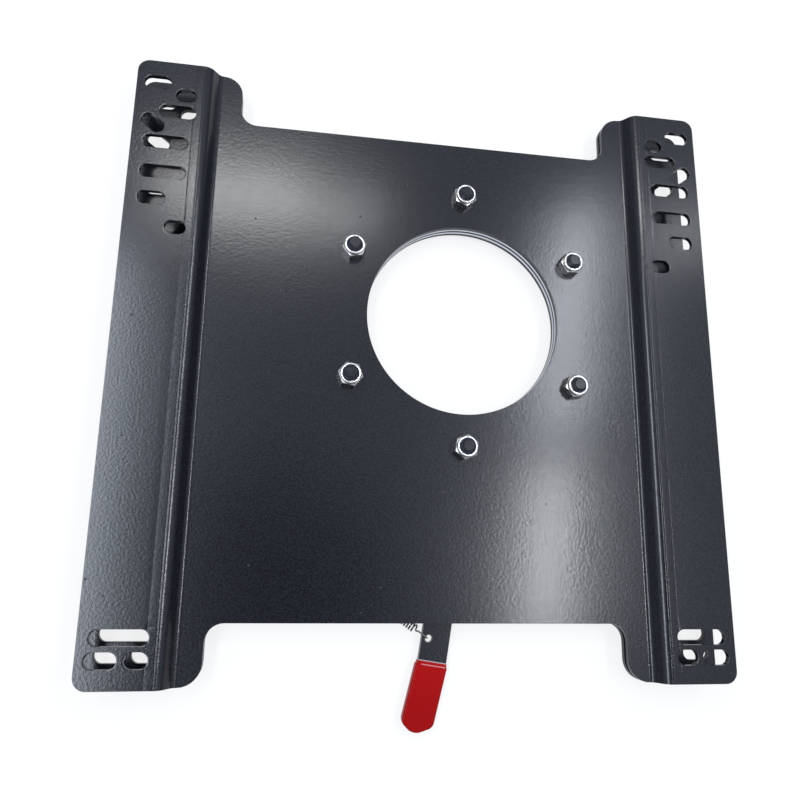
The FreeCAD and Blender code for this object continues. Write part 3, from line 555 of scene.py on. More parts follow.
def rounded_loop(bm, corners, segments):
    """Closed loop of edges through (x, y, radius) corners in metres, each corner rounded."""
    bm.faces.new([bm.verts.new((x, y, 0)) for x, y, radius in corners])
    points = [Vector((x, y, 0)) for x, y, radius in corners]
    for i, (x, y, radius) in enumerate(corners):
        if radius == 0:
            continue
        before = (points[i - 1] - points[i]).normalized()
        after = (points[(i + 1) % len(points)] - points[i]).normalized()
        reach = radius / math.tan(before.angle(after) / 2)
        corner = min(bm.verts, key=lambda vert: (vert.co - points[i]).length)
        bmesh.ops.bevel(
            bm,
            geom=[corner],
            offset=reach,
            offset_type="OFFSET",
            segments=segments,
            profile=0.5,
            affect="VERTICES",
            material=-1,
        )
    (face,) = bm.faces
    bm.faces.remove(face)


def slot_loop(bm, x, y, reach, width, lean):
    """Round-ended slot, leaning from the X direction. Its corners stop just short of meeting, and are merged."""
    half = width / 2
    round_end = half * 0.999
    turn = Matrix.Translation((x, y, 0)) @ Matrix.Rotation(lean, 4, "Z")
    small = bmesh.new()
    corners = ((-reach, -half), (reach, -half), (reach, half), (-reach, half))
    rounded_loop(small, [(px, py, round_end) for px, py in corners], 10)
    bmesh.ops.remove_doubles(small, verts=small.verts[:], dist=0.05 * MM)
    bmesh.ops.transform(small, matrix=turn, verts=small.verts[:])
    append(bm, small)


def everything(bm):
    return bm.verts[:] + bm.edges[:] + bm.faces[:]


def of_kind(items, kind):
    return [item for item in items if isinstance(item, kind)]


def cut(bm, place, normal, dist=1e-7, **options):
    """Cuts a bmesh along a plane."""
    return bmesh.ops.bisect_plane(bm, geom=everything(bm), dist=dist, plane_co=place, plane_no=normal, **options)


def append(bm, other):
    """Adds another bmesh, and frees it."""
    mesh = bpy.data.meshes.new("scratch")
    other.to_mesh(mesh)
    other.free()
    bm.from_mesh(mesh)
    bpy.data.meshes.remove(mesh)


def fill_loops(bm):
    """Fills the loops of edges into one flat face region, with holes, facing up.

    The fill is exact only at sizes well over its own tolerance, so it works in millimetres.
    """
    bmesh.ops.scale(bm, vec=(1 / MM, 1 / MM, 1 / MM), verts=bm.verts[:])
    bmesh.ops.triangle_fill(bm, use_beauty=True, use_dissolve=False, edges=bm.edges[:])
    bmesh.ops.scale(bm, vec=(MM, MM, MM), verts=bm.verts[:])
    bm.normal_update()
    turned = [face for face in bm.faces if face.normal.z < 0]
    bmesh.ops.reverse_faces(bm, faces=turned)


def thicken(bm, thickness, edge_radius, segments=3):
    """Gives a flat region at its top level a thickness downwards, and rounds its rims."""
    bmesh.ops.inset_region(
        bm,
        faces=bm.faces[:],
        thickness=edge_radius * RIM_INSET,
        use_boundary=True,
        use_even_offset=True,
    )
    made = bmesh.ops.extrude_face_region(bm, geom=bm.faces[:], use_keep_orig=True)
    bmesh.ops.translate(bm, vec=(0, 0, -thickness), verts=of_kind(made["geom"], bmesh.types.BMVert))
    bmesh.ops.recalc_face_normals(bm, faces=bm.faces[:])
    bm.normal_update()
    rims = [edge for edge in bm.edges if len(edge.link_faces) == 2 and edge.calc_face_angle() > math.radians(60)]
    bmesh.ops.bevel(
        bm,
        geom=rims,
        offset=edge_radius,
        offset_type="OFFSET",
        segments=segments,
        profile=0.5,
        affect="EDGES",
        clamp_overlap=True,
        material=-1,
    )


def flat_from_node(node, edge_radius):
    """Flat part with rounded rims, from the top faces of a CAD node's copy."""
    bm = bmesh.new()
    bm.from_mesh(frame["nodes"][node].data)
    bmesh.ops.remove_doubles(bm, verts=bm.verts[:], dist=1e-6)
    bm.normal_update()
    top = level(node, 1)
    other = [face for face in bm.faces if face.normal.z < 0.9 or abs(face.calc_center_median().z - top) > 1e-5]
    bmesh.ops.delete(bm, geom=other, context="FACES")
    thicken(bm, top - level(node, 0), edge_radius)
    return bm


def spun(profile, steps, **options):
    """Skin of (radius, level) points in metres, spun once round the upright axis."""
    bm = bmesh.new()
    verts = [bm.verts.new((radius, 0, z)) for radius, z in profile]
    for first, second in zip(verts, verts[1:]):
        bm.edges.new((first, second))
    outline = bm.verts[:] + bm.edges[:]
    bmesh.ops.spin(bm, geom=outline, cent=ORIGIN, axis=UP, angle=math.tau, steps=steps, **options)
    return bm


def turned(profile, centre, steps=48):
    """Closed solid turned about a vertical axis from (radius, level) points in metres."""
    bm = spun(profile, steps, use_merge=True)
    bmesh.ops.remove_doubles(bm, verts=bm.verts[:], dist=1e-7)
    bmesh.ops.recalc_face_normals(bm, faces=bm.faces[:])
    bmesh.ops.translate(bm, vec=centre, verts=bm.verts[:])
    return bm


def skinned(rings, segments=48):
    """Closed skin over a stack of rings: each is a radius, or a function of the angle, and a level."""
    bm = bmesh.new()
    bmesh.ops.create_circle(bm, radius=1.0, segments=segments)
    loop = bm.edges[:]
    place_ring(bm.verts[:], *rings[0])
    first = loop
    for ring in rings[1:]:
        made = bmesh.ops.extrude_edge_only(bm, edges=loop)
        loop = of_kind(made["geom"], bmesh.types.BMEdge)
        place_ring(of_kind(made["geom"], bmesh.types.BMVert), *ring)
    bmesh.ops.edgeloop_fill(bm, edges=first)
    bmesh.ops.edgeloop_fill(bm, edges=loop)
    bmesh.ops.recalc_face_normals(bm, faces=bm.faces[:])
    return bm


def place_ring(verts, radius, height):
    """Moves ring vertices to a radius and a level, each a number or a function of the angle."""
    for vert in verts:
        around = math.atan2(vert.co.y, vert.co.x)
        r = radius(around) if callable(radius) else radius
        z = height(r) if callable(height) else height
        vert.co = (r * math.cos(around), r * math.sin(around), z)


def hexagon(width):
    """Radius of a hexagon at an angle, from its width across the flats."""
    def radius(around):
        return width / 2 / math.cos((around % math.radians(60)) - math.radians(30))
    return radius


def quarter(radius_centre, z_centre, size, start, end, steps=4):
    """Points of an arc in a profile, in degrees from outwards towards up."""
    points = []
    for i in range(steps + 1):
        turn = math.radians(start + (end - start) * i / steps)
        points.append((radius_centre + size * math.cos(turn), z_centre + size * math.sin(turn)))
    return points


def bolt_places():
    sizes = settings("swivel")
    for i in range(sizes.bolt_count):
        around = sizes.first_bolt + math.tau * i / sizes.bolt_count
        yield SWIVEL + Vector((math.cos(around), math.sin(around), 0)) * sizes.bolt_circle


def copies_at(original, places):
    """One bmesh with the original at each (place, turn); it remembers how far each vertex is from its axis."""
    from_axis = original.verts.layers.float.new("from_axis")
    for vert in original.verts:
        vert[from_axis] = vert.co.xy.length / MM
    bm = bmesh.new()
    mesh = bpy.data.meshes.new("scratch")
    original.to_mesh(mesh)
    original.free()
    for place, turn in places:
        start = len(bm.verts)
        bm.from_mesh(mesh)
        bm.verts.ensure_lookup_table()
        matrix = Matrix.Translation(place) @ Matrix.Rotation(turn, 4, "Z")
        bmesh.ops.transform(bm, matrix=matrix, verts=bm.verts[start:])
    bpy.data.meshes.remove(mesh)
    return bm


def finish_piece(name, bm, slot, body, *nodes, sharp=45.0):
    """Makes the bmesh a piece that rides on a body and stands for CAD nodes."""
    for face in bm.faces:
        face.smooth = True
    mesh = bpy.data.meshes.new(name)
    bm.to_mesh(mesh)
    bm.free()
    mesh.set_sharp_from_angle(angle=math.radians(sharp))
    mesh.materials.append(finish_of(slot))
    piece = bpy.data.objects.new(name, mesh)
    bpy.context.scene.collection.objects.link(piece)
    shading = piece.modifiers.new("even_shading", "WEIGHTED_NORMAL")
    shading.keep_sharp = True
    if body:
        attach(piece, body)
    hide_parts(*nodes)
    return piece


# Folded plates


def fold_lengths(sizes):
    """Arc, straight web and plan run of one stepped flange, along the middle of the sheet."""
    radius = sizes.bend_radius
    arc = radius * sizes.bend
    web = (sizes.step - 2 * radius * (1 - math.cos(sizes.bend))) / math.sin(sizes.bend)
    run = 2 * radius * math.sin(sizes.bend) + web * math.cos(sizes.bend)
    return arc, web, run


def tool_marks(sizes):
    """Places of the bending tools' marks along the sheet, from the panel's edge outwards."""
    arc, web, run = fold_lengths(sizes)
    spread = 2 * arc + web - run
    return (2 * arc + web - sizes.mark_inset, sizes.crease + spread - sizes.panel_half)


def folded(point, sizes):
    """Where a point of the flat blank goes: x is measured along the sheet and z from its middle."""
    arc, web, run = fold_lengths(sizes)
    radius, bend = sizes.bend_radius, sizes.bend
    side = math.copysign(1.0, point.x)
    along = abs(point.x) - sizes.panel_half
    out = point.z * (1 - mark_at(along, sizes) / (sizes.sheet / 2))
    sin, cos = math.sin(bend), math.cos(bend)
    if along <= 0:
        return Vector((point.x, point.y, out))
    if along <= arc:
        turn = along / radius
        x, z = (radius + out) * math.sin(turn), (radius + out) * math.cos(turn) - radius
    elif along <= arc + web:
        x = radius * sin + (along - arc) * cos + out * sin
        z = radius * (cos - 1) - (along - arc) * sin + out * cos
    elif along <= 2 * arc + web:
        turn = bend - (along - arc - web) / radius
        x, z = run - (radius - out) * math.sin(turn), radius - sizes.step - (radius - out) * math.cos(turn)
    else:
        x, z = run + along - 2 * arc - web, out - sizes.step
    return Vector((side * (sizes.panel_half + x), point.y, z))


def mark_at(along, sizes):
    """Depth of the tool marks at a distance along the sheet."""
    past = min(abs(along - mark) for mark in tool_marks(sizes))
    return sizes.mark_depth * max(0.0, 1 - 2 * past / sizes.mark_width)


def folded_plate(round_holes):
    """Folded and punched plate with its panel's middle at level 0 and its flanges below."""
    sizes = settings("plate")
    arc, web, run = fold_lengths(sizes)
    spread = 2 * arc + web - run
    x, y = PLATE_EDGE.x + spread, PLATE_EDGE.y
    ear = sizes.cutout_width / 2
    quarter_outline = [
        (x, y, sizes.flange_corner),
        (ear, y, sizes.ear_corner),
        (ear, y - sizes.cutout_depth, sizes.cutout_corner),
    ]
    rear = quarter_outline + [(-px, py, r) for px, py, r in reversed(quarter_outline)]
    front = [(-px, -py, r) for px, py, r in rear]
    bm = bmesh.new()
    rounded_loop(bm, rear + front, 8)
    for rows, end in ((REAR_SLOTS, 1), (FRONT_SLOTS, -1)):
        for side_inset, end_inset, slot_length, lean in rows:
            for side in (1, -1):
                slot_loop(
                    bm,
                    side * (x - side_inset * MM),
                    end * (y - end_inset * MM),
                    slot_length * MM / 2,
                    sizes.slot_width,
                    side * math.radians(lean),
                )
    for radius, centre, segments in round_holes:
        bmesh.ops.create_circle(bm, radius=radius, segments=segments, matrix=Matrix.Translation(centre))
    fill_loops(bm)
    bmesh.ops.translate(bm, vec=(0, 0, sizes.sheet / 2), verts=bm.verts[:])
    thicken(bm, sizes.sheet, sizes.edge_radius)
    bends = 8
    lines = [arc * i / bends for i in range(bends + 1)]
    lines += [arc + web + arc * i / bends for i in range(bends + 1)]
    for mark in tool_marks(sizes):
        lines += [mark + sizes.mark_width * step / 4 for step in (-2, -1, 0, 1, 2)]
    for line in lines:
        for side in (1, -1):
            cut(bm, (side * (sizes.panel_half + line), 0, 0), X_AXIS, 0.005 * MM)
    bmesh.ops.dissolve_degenerate(bm, dist=0.002 * MM, edges=bm.edges[:])
    for vert in bm.verts:
        vert.co = folded(vert.co, sizes)
    return bm


class SEATBASE_OT_upper_plate(bpy.types.Operator):
    """Upper plate: the folded blank with its flanges up, the cable hole and the bolt holes"""

    bl_idname = "seatbase.upper_plate"
    bl_label = "Upper plate"

    def execute(self, context):
        swivel, sheet = settings("swivel"), settings("plate").sheet
        holes = [(swivel.hole_radius, SWIVEL, 144)]
        holes += [(swivel.bolt_hole, place, 24) for place in bolt_places()]
        bm = folded_plate(holes)
        bmesh.ops.scale(bm, vec=(1, 1, -1), verts=bm.verts[:])
        bmesh.ops.recalc_face_normals(bm, faces=bm.faces[:])
        bmesh.ops.translate(bm, vec=(0, 0, PANEL_LOW + sheet / 2), verts=bm.verts[:])
        finish_piece("seat_plate", bm, "plate_paint", "turntable", "upper_plate")
        return {"FINISHED"}


class SEATBASE_OT_lower_plate(bpy.types.Operator):
    """Lower plate: the same blank with its flanges down and the bearing's hole"""

    bl_idname = "seatbase.lower_plate"
    bl_label = "Lower plate"

    def execute(self, context):
        swivel, sheet = settings("swivel"), settings("plate").sheet
        bm = folded_plate([(swivel.bearing_radius, SWIVEL, 144)])
        bmesh.ops.translate(bm, vec=(0, 0, level("lower_plate", 1) - sheet / 2), verts=bm.verts[:])
        finish_piece("base_plate", bm, "plate_paint", "base", "lower_plate")
        return {"FINISHED"}


class SEATBASE_OT_rings(bpy.types.Operator):
    """Hub rings, index ring and slide rings, with rounded rims"""

    bl_idname = "seatbase.rings"
    bl_label = "Rings"

    def execute(self, context):
        edge = settings("swivel").ring_edge
        rows = (
            ("spacer_ring", "hub_spacer_ring", "zinc_ring", "turntable", edge),
            ("shim_ring", "hub_shim", "plate_paint", "turntable", edge),
            ("bearing_ring", "hub_ring", "zinc_ring", "turntable", edge),
            ("notched_ring", "index_ring", "plate_paint", "turntable", edge),
            ("upper_slide", "slide_ring_upper", "slide_plastic", "base", edge),
            ("lower_slide", "slide_ring_lower", "slide_plastic", "base", edge / 2),
        )
        for name, node, slot, body, rim in rows:
            finish_piece(name, flat_from_node(node, rim), slot, body, node)
        return {"FINISHED"}


# Bolts and nuts


def threaded_end(sizes, low, tip):
    """Threaded end of a bolt from a level up to its chamfered tip."""
    crest, root = sizes.bolt_radius, sizes.bolt_radius - sizes.thread_depth
    steps = 36
    # One turn of the thread, as shares of the pitch: flat root, flank, flat crest and flank back
    turn = ((root, 0.0), (root, 0.16), (crest, 0.53), (crest, 0.63))
    z = low - 2 * sizes.pitch
    points = []
    while z < tip + sizes.pitch:
        points += [(radius, z + part * sizes.pitch) for radius, part in turn]
        z += sizes.pitch
    bm = spun(points, steps, dvec=(0, 0, sizes.pitch / steps))
    bmesh.ops.remove_doubles(bm, verts=bm.verts[:], dist=1e-6)
    for height, above in ((tip, True), (low, False)):
        made = cut(bm, (0, 0, height), UP, clear_outer=above, clear_inner=not above)
        bmesh.ops.edgeloop_fill(bm, edges=of_kind(made["geom_cut"], bmesh.types.BMEdge))
    for vert in bm.verts:
        limit = crest - sizes.tip_chamfer + (tip - vert.co.z)
        flat = vert.co.xy.length
        if flat > limit:
            vert.co.x *= limit / flat
            vert.co.y *= limit / flat
    bmesh.ops.recalc_face_normals(bm, faces=bm.faces[:])
    return bm


class SEATBASE_OT_bolts(bpy.types.Operator):
    """Clamping bolts: button head with a hexagon socket below, thread showing above"""

    bl_idname = "seatbase.bolts"
    bl_label = "Bolts"

    def execute(self, context):
        sizes = settings("fastener")
        thread_low = BOLT_TIP - sizes.thread_length
        socket, rim, steps = hexagon(sizes.socket), 0.2 * MM, 8
        seat, low, head, flat = HEAD_SEAT, BOLT_LOW, sizes.head_radius, sizes.dome_flat
        rings = [(sizes.bolt_radius, thread_low), (sizes.bolt_radius, seat)]
        rings += [(head - rim, seat), (head, seat - rim)]
        for i in range(steps + 1):
            turn = math.pi / 2 * i / steps
            rings.append((flat + (head - flat) * math.cos(turn), low + sizes.dome_height * (1 - math.sin(turn))))
        rings += [(socket, low), (socket, low + sizes.socket_depth)]
        bm = skinned(rings)
        append(bm, threaded_end(sizes, thread_low, BOLT_TIP))
        places = [(place, math.radians(19.0 * i)) for i, place in enumerate(bolt_places())]
        finish_piece("bolts", copies_at(bm, places), "bolt_black", "turntable", "clamp_bolts", sharp=35.0)
        return {"FINISHED"}


class SEATBASE_OT_nuts(bpy.types.Operator):
    """Lock nuts: chamfered hexagon with a rolled collar"""

    bl_idname = "seatbase.nuts"
    bl_label = "Lock nuts"

    def execute(self, context):
        sizes = settings("fastener")
        base, top = NUT_BASE, NUT_TOP
        flat = sizes.nut_width / 2
        side = hexagon(sizes.nut_width)
        hex_top = base + sizes.nut_hexagon
        slope = math.tan(math.radians(30))
        collar, mouth = sizes.collar_radius, sizes.collar_mouth
        bore = sizes.bolt_radius + sizes.bore_gap
        roll = (collar - mouth) / 2
        face = flat - 0.15 * MM
        neck, pocket, lead = collar - 0.6 * MM, collar - 0.7 * MM, 0.3 * MM
        lip = top - sizes.insert_depth - 0.3 * MM
        seat = top - sizes.insert_depth - 2.0 * MM
        rings = [
            (bore + lead, base),
            (face, base),
            (side, lambda r: base + (r - face) * slope),
            (side, lambda r: hex_top - (r - face) * slope),
            (face, hex_top),
            (neck, hex_top + 0.1 * MM),
            (neck, hex_top + 0.5 * MM),
            (collar - 0.1 * MM, top - 1.5 * roll),
        ]
        rings += quarter(collar - roll, top - roll, roll, 0, 180, 8)
        rings += [(mouth, lip), (pocket, lip), (pocket, seat), (bore, seat), (bore, base + lead)]
        bm = skinned_tube(rings)
        places = zip(bolt_places(), (math.radians(turn) for turn in NUT_TURNS))
        finish_piece("nuts", copies_at(bm, places), "zinc_nut", "turntable", "lock_nuts", sharp=28.0)
        return {"FINISHED"}


def skinned_tube(rings, segments=60):
    """Skin over a stack of rings whose last ring joins the first."""
    bm = skinned(rings, segments)
    caps = [face for face in bm.faces if len(face.verts) > 4]
    bmesh.ops.delete(bm, geom=caps, context="FACES_ONLY")
    open_edges = [edge for edge in bm.edges if edge.is_boundary]
    bmesh.ops.bridge_loops(bm, edges=open_edges)
    bmesh.ops.recalc_face_normals(bm, faces=bm.faces[:])
    return bm


class SEATBASE_OT_inserts(bpy.types.Operator):
    """Nylon rings held inside the collars of the nuts"""

    bl_idname = "seatbase.inserts"
    bl_label = "Nylon rings"

    def execute(self, context):
        sizes = settings("fastener")
        top = NUT_TOP - sizes.insert_depth
        low = top - sizes.insert_height
        inner, outer = sizes.bolt_radius + sizes.bore_gap, sizes.collar_radius - 0.75 * MM
        middle, half = (inner + outer) / 2, (outer - inner) / 2
        # The crown from the outside in: radius, and how far it lies below the top in mm
        slope, lead = middle + half * 0.7, inner + 0.25 * MM
        crown = ((outer, 0.35), (slope, 0.31), (middle, 0.15), (lead, 0.0), (inner, 0.2))
        profile = [(outer, low)] + [(radius, top - drop * MM) for radius, drop in crown]
        profile += [(inner, low), (outer, low)]
        bm = copies_at(turned(profile, ORIGIN), [(place, 0.0) for place in bolt_places()])
        finish_piece("nylon_rings", bm, "insert_nylon", "turntable", "nut_inserts")
        return {"FINISHED"}


# Lever, sleeve and pivot


def along_lean(lean, reach):
    """Vector that points to the front, leaning to the left."""
    return Vector((-math.sin(lean), -math.cos(lean), 0)) * reach


class SEATBASE_OT_lever(bpy.types.Operator):
    """Lever bar with rounded edges, its arm and its latch tooth"""

    bl_idname = "seatbase.lever"
    bl_label = "Lever"

    def execute(self, context):
        bm = flat_from_node("lever_bar", settings("latch").edge)
        bmesh.ops.dissolve_degenerate(bm, dist=0.002 * MM, edges=bm.edges[:])
        finish_piece("lever", bm, "plate_paint", "lever", "lever_bar")
        return {"FINISHED"}


class SEATBASE_OT_sleeve(bpy.types.Operator):
    """Dipped sleeve: rounded all round, closed at the tip, with a thinner lip at its mouth"""

    bl_idname = "seatbase.sleeve"
    bl_label = "Sleeve"

    def execute(self, context):
        sizes = settings("latch")
        low, high = level("lever_sleeve", 0), level("lever_sleeve", 1)
        wall = sizes.sleeve_wall
        half = sizes.bar_width / 2 + wall
        mouth = PIVOT + along_lean(sizes.lean, sizes.mouth_reach)
        back = -along_lean(sizes.lean, 1.0)
        ahead, aside = along_lean(sizes.handle_lean, 1.0), along_lean(sizes.handle_lean + math.pi / 2, -1.0)
        mouth_side = along_lean(sizes.lean + math.pi / 2, -1.0)
        shoulder, nose = 3.5 * MM + wall, 6.0 * MM + wall
        left = mouth + ahead * (sizes.left_length + wall) - aside * half
        right = mouth + ahead * (sizes.right_length + wall) + aside * half
        tip = mouth + ahead * (sizes.tip_length + wall) - aside * sizes.tip_offset
        corners = [
            (*(mouth - mouth_side * half).xy, 0),
            (*left.xy, shoulder),
            (*tip.xy, nose),
            (*right.xy, shoulder),
            (*(mouth + mouth_side * half).xy, 0),
        ]
        bm = bmesh.new()
        rounded_loop(bm, corners, 8)
        fill_loops(bm)
        bmesh.ops.translate(bm, vec=(0, 0, high), verts=bm.verts[:])
        thicken(bm, high - low, sizes.sleeve_round, 5)
        # The lip swells to the full sleeve from 0.75 to 1.25 of its length, and is flatter by 0.6 of its step
        swell_start, swell, flatter, steps = 0.75, 0.5, 0.6, 8
        lip, middle = sizes.lip_length, (low + high) / 2
        for i in range(steps + 1):
            cut(bm, mouth - back * (lip * (swell_start + swell * i / steps)), back)
        for vert in bm.verts:
            along = (mouth - vert.co).dot(back)
            swollen = min(1.0, max(0.0, (along / lip - swell_start) / swell))
            inward = sizes.lip_step * (1 + math.cos(math.pi * swollen)) / 2
            across = (vert.co - mouth).dot(mouth_side)
            vert.co -= mouth_side * (inward * across / half)
            vert.co.z -= inward * flatter * (vert.co.z - middle) / (high - middle)
        finish_piece("sleeve", bm, "sleeve_red", "lever", "lever_sleeve")
        return {"FINISHED"}


class SEATBASE_OT_pivot(bpy.types.Operator):
    """Pivot rivet with its spacer and washer, keeper rivets and the spring's post"""

    bl_idname = "seatbase.pivot"
    bl_label = "Rivets, spacer, washer and post"

    def execute(self, context):
        sizes = settings("fastener")
        rim = 0.12 * MM
        panel_top = level("lower_plate", 1)
        panel_low = panel_top - settings("plate").sheet
        low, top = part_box("pivot_rivet")
        foot, washer = (top.x - low.x) / 2, level("pivot_washer", 0)
        shoulder, shank = sizes.pivot_shoulder, sizes.pivot_shank
        steps = [(foot, washer), (shoulder, washer), (shoulder, panel_low), (shank, panel_low), (shank, panel_top)]
        profile = self.pin_profile("pivot_rivet", foot, steps, sizes.pivot_head, panel_top)
        finish_piece("pivot_pin", turned(profile, PIVOT), "zinc_nut", "base", "pivot_rivet")
        finish_piece("pivot_collar", flat_from_node("pivot_spacer", rim), "slide_plastic", "base", "pivot_spacer")
        finish_piece("thrust_washer", flat_from_node("pivot_washer", rim), "zinc_ring", "base", "pivot_washer")
        self.keeper_rivets(sizes, panel_top)
        self.post(sizes, panel_low, panel_top)
        return {"FINISHED"}

    def pin_profile(self, node, foot, steps, head, panel_top):
        """Profile of a pin: its foot below, the steps of its shank, and its head above the plate."""
        edge, (low, top) = settings("fastener").rivet_edge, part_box(node)
        profile = [(0, low.z)] + quarter(foot - edge, low.z + edge, edge, -90, 0) + steps + [(head, panel_top)]
        return profile + quarter(head - edge, top.z - edge, edge, 0, 90) + [(0, top.z)]

    def keeper_rivets(self, sizes, panel_top):
        low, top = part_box("keeper_rivets")
        head, shank, seat = sizes.pin_head, sizes.pin_shank, level("lever_keeper", 1) - sizes.strap
        steps = [(head, seat), (shank, seat), (shank, panel_top)]
        profile = self.pin_profile("keeper_rivets", head, steps, head, panel_top)
        left = Vector((low.x + head, top.y - head, 0))
        right = Vector((top.x - head, low.y + head, 0))
        bm = copies_at(turned(profile, ORIGIN), [(left, 0.0), (right, 0.0)])
        finish_piece("keeper_pins", bm, "zinc_nut", "base", "keeper_rivets")

    def post(self, sizes, panel_low, panel_top):
        low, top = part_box("spring_post")
        foot, neck, shank = (top.x - low.x) / 2, sizes.post_neck, sizes.pin_shank
        flange = low.z + sizes.post_flange
        steps = [(foot, flange), (neck, flange), (neck, panel_low), (shank, panel_low), (shank, panel_top)]
        profile = self.pin_profile("spring_post", foot, steps, sizes.pin_head, panel_top)
        centre = ((low + top) / 2).xy.to_3d()
        finish_piece("post", turned(profile, centre), "zinc_nut", "base", "spring_post")


class SEATBASE_OT_keeper(bpy.types.Operator):
    """Keeper: a strap bent round the lever, riveted under the lower plate"""

    bl_idname = "seatbase.keeper"
    bl_label = "Keeper"

    def execute(self, context):
        bm = bmesh.new()
        bm.from_mesh(frame["nodes"]["lever_keeper"].data)
        bmesh.ops.remove_doubles(bm, verts=bm.verts[:], dist=1e-6)
        bmesh.ops.dissolve_limit(bm, angle_limit=math.radians(1), verts=bm.verts[:], edges=bm.edges[:])
        finish_piece("keeper", bm, "plate_paint", "base", "lever_keeper", sharp=30.0)
        return {"FINISHED"}


# Spring


class WireBender:
    """Feeds a round wire through straights, bends and coils, as a forming machine does."""

    def __init__(self, bm, radius, place, sides=12):
        self.bm = bm
        self.place = place
        upright = place @ Matrix.Rotation(math.pi / 2, 4, "Y")
        made = bmesh.ops.create_circle(bm, radius=radius, segments=sides, matrix=upright)
        self.end = made["verts"] + list({edge for vert in made["verts"] for edge in vert.link_edges})
        self.start = self.end_edges()

    def end_edges(self):
        return of_kind(self.end, bmesh.types.BMEdge)

    def run(self, reach):
        """Straight length along the wire's heading."""
        made = bmesh.ops.extrude_edge_only(self.bm, edges=self.end_edges())
        step = self.place.to_3x3() @ Vector((reach, 0, 0))
        bmesh.ops.translate(self.bm, vec=step, verts=of_kind(made["geom"], bmesh.types.BMVert))
        self.end = [item for item in made["geom"] if not isinstance(item, bmesh.types.BMFace)]
        self.place = Matrix.Translation(step) @ self.place

    def bend(self, radius, turn, toward, rise=0.0):
        """Arc of a radius towards a direction in the wire's own frame; rise moves it along the arc's axis."""
        side = (self.place.to_3x3() @ Vector(toward)).normalized()
        heading = (self.place.to_3x3() @ X_AXIS).normalized()
        axis = heading.cross(side)
        centre = self.place.translation + side * radius
        steps = max(2, round(abs(turn) / math.radians(20)))
        climb = axis * (rise / steps)
        made = bmesh.ops.spin(self.bm, geom=self.end, cent=centre, axis=axis, dvec=climb, angle=turn, steps=steps)
        self.end = made["geom_last"]
        swung = Matrix.Translation(centre) @ Matrix.Rotation(turn, 4, axis) @ Matrix.Translation(-centre)
        self.place = Matrix.Translation(axis * rise) @ swung @ self.place

    def close(self):
        """Caps both ends."""
        bmesh.ops.edgeloop_fill(self.bm, edges=self.start)
        bmesh.ops.edgeloop_fill(self.bm, edges=self.end_edges())


class SEATBASE_OT_spring(bpy.types.Operator):
    """Extension spring: hook through the lever, open end turn, coil, and an eye round the post"""

    bl_idname = "seatbase.spring"
    bl_label = "Spring"

    def execute(self, context):
        sizes = settings("latch")
        wire, coil, pitch = sizes.wire_radius, sizes.coil_radius, sizes.coil_pitch
        axis_level = (LEVER_LOW + LEVER_TOP) / 2
        clear = wire + 0.15 * MM
        under, over = LEVER_LOW - clear, LEVER_TOP + clear
        # Radii of the bends, the hook's straight end, and the pitch of the coil's first, open turn
        hook_bend, kink, tight, quarter_turn = 0.8 * MM, 1.0 * MM, 0.5 * MM, math.pi / 2
        tail, first_turn = 2.4 * MM, 1.9 * MM
        # The eye: how far from the post the coil ends, how far the wire climbs to it and sinks in it, and its arc
        eye_room, eye_climb, eye_sink, eye_arc = 6.0 * MM, 1.2 * MM, 0.3 * MM, 0.85 * math.tau
        aside = UP * (over - axis_level - coil) - LEFT * sizes.hook_sway
        sidestep = math.acos(1 - aside.length / (2 * kink))
        hook = self.hook_hole(sizes) + HOOK_SEAT
        lay = Matrix.Translation(hook) @ Matrix.Rotation(sizes.coil_direction, 4, "Z")
        post = self.post_place(sizes)
        goal = lay.inverted() @ post
        bm = bmesh.new()
        start = Vector((tail, 0, under))
        bender = WireBender(bm, wire, Matrix.Translation(start) @ Matrix.Rotation(math.pi, 4, "Z"))
        bender.run(tail - hook_bend)
        bender.bend(hook_bend, quarter_turn, UP)
        bender.run(over - under - 2 * hook_bend)
        bender.bend(hook_bend, quarter_turn, UP)
        bender.run(sizes.hook_length - hook_bend - 2 * kink * math.sin(sidestep) - tight)
        bender.bend(kink, sidestep, aside)
        bender.bend(kink, sidestep, -aside)
        bender.bend(tight, quarter_turn, LEFT)
        bender.bend(coil, math.tau, UP, first_turn)
        coil_end = goal.x - eye_room
        turns = math.floor((coil_end - bender.place.translation.x) / pitch)
        bender.bend(coil, math.tau * turns, UP, turns * pitch)
        bender.bend(tight, quarter_turn, -LEFT)
        eye = settings("fastener").post_neck + clear
        gap, drift = goal.x - bender.place.translation.x, bender.place.translation.y - goal.y
        sway = (gap**2 + drift**2 - eye**2) / (2 * (eye + drift))
        bender.bend(sway, math.atan2(gap, sway - drift), LEFT, eye_climb)
        bender.bend(eye, eye_arc, -LEFT, -eye_sink)
        bender.close()
        bmesh.ops.recalc_face_normals(bm, faces=bm.faces[:])
        bmesh.ops.transform(bm, matrix=lay, verts=bm.verts[:])
        piece = finish_piece("spring", bm, "spring_wire", None, "lever_spring", sharp=60.0)
        hook + UP * axis_level
        post + UP * axis_level
        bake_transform(piece)
        return {"FINISHED"}

    def hook_hole(self, sizes):
        hole = PIVOT + along_lean(sizes.lean, HOOK_REACH)
        return hole + along_lean(sizes.lean + math.pi / 2, HOOK_ASIDE)

    def post_place(self, sizes):
        reach = Vector((sizes.spring_length, 0, 0))
        return self.hook_hole(sizes) + Matrix.Rotation(sizes.spring_direction, 3, "Z") @ reach


# Stage

# Direction of a dark patch in the surroundings, nearly overhead
DARK_PATCH = (-0.037, -0.068, 0.997)

# Power of a square metre of lamp for one unit of its radiance
POWER_PER_RADIANCE = 4

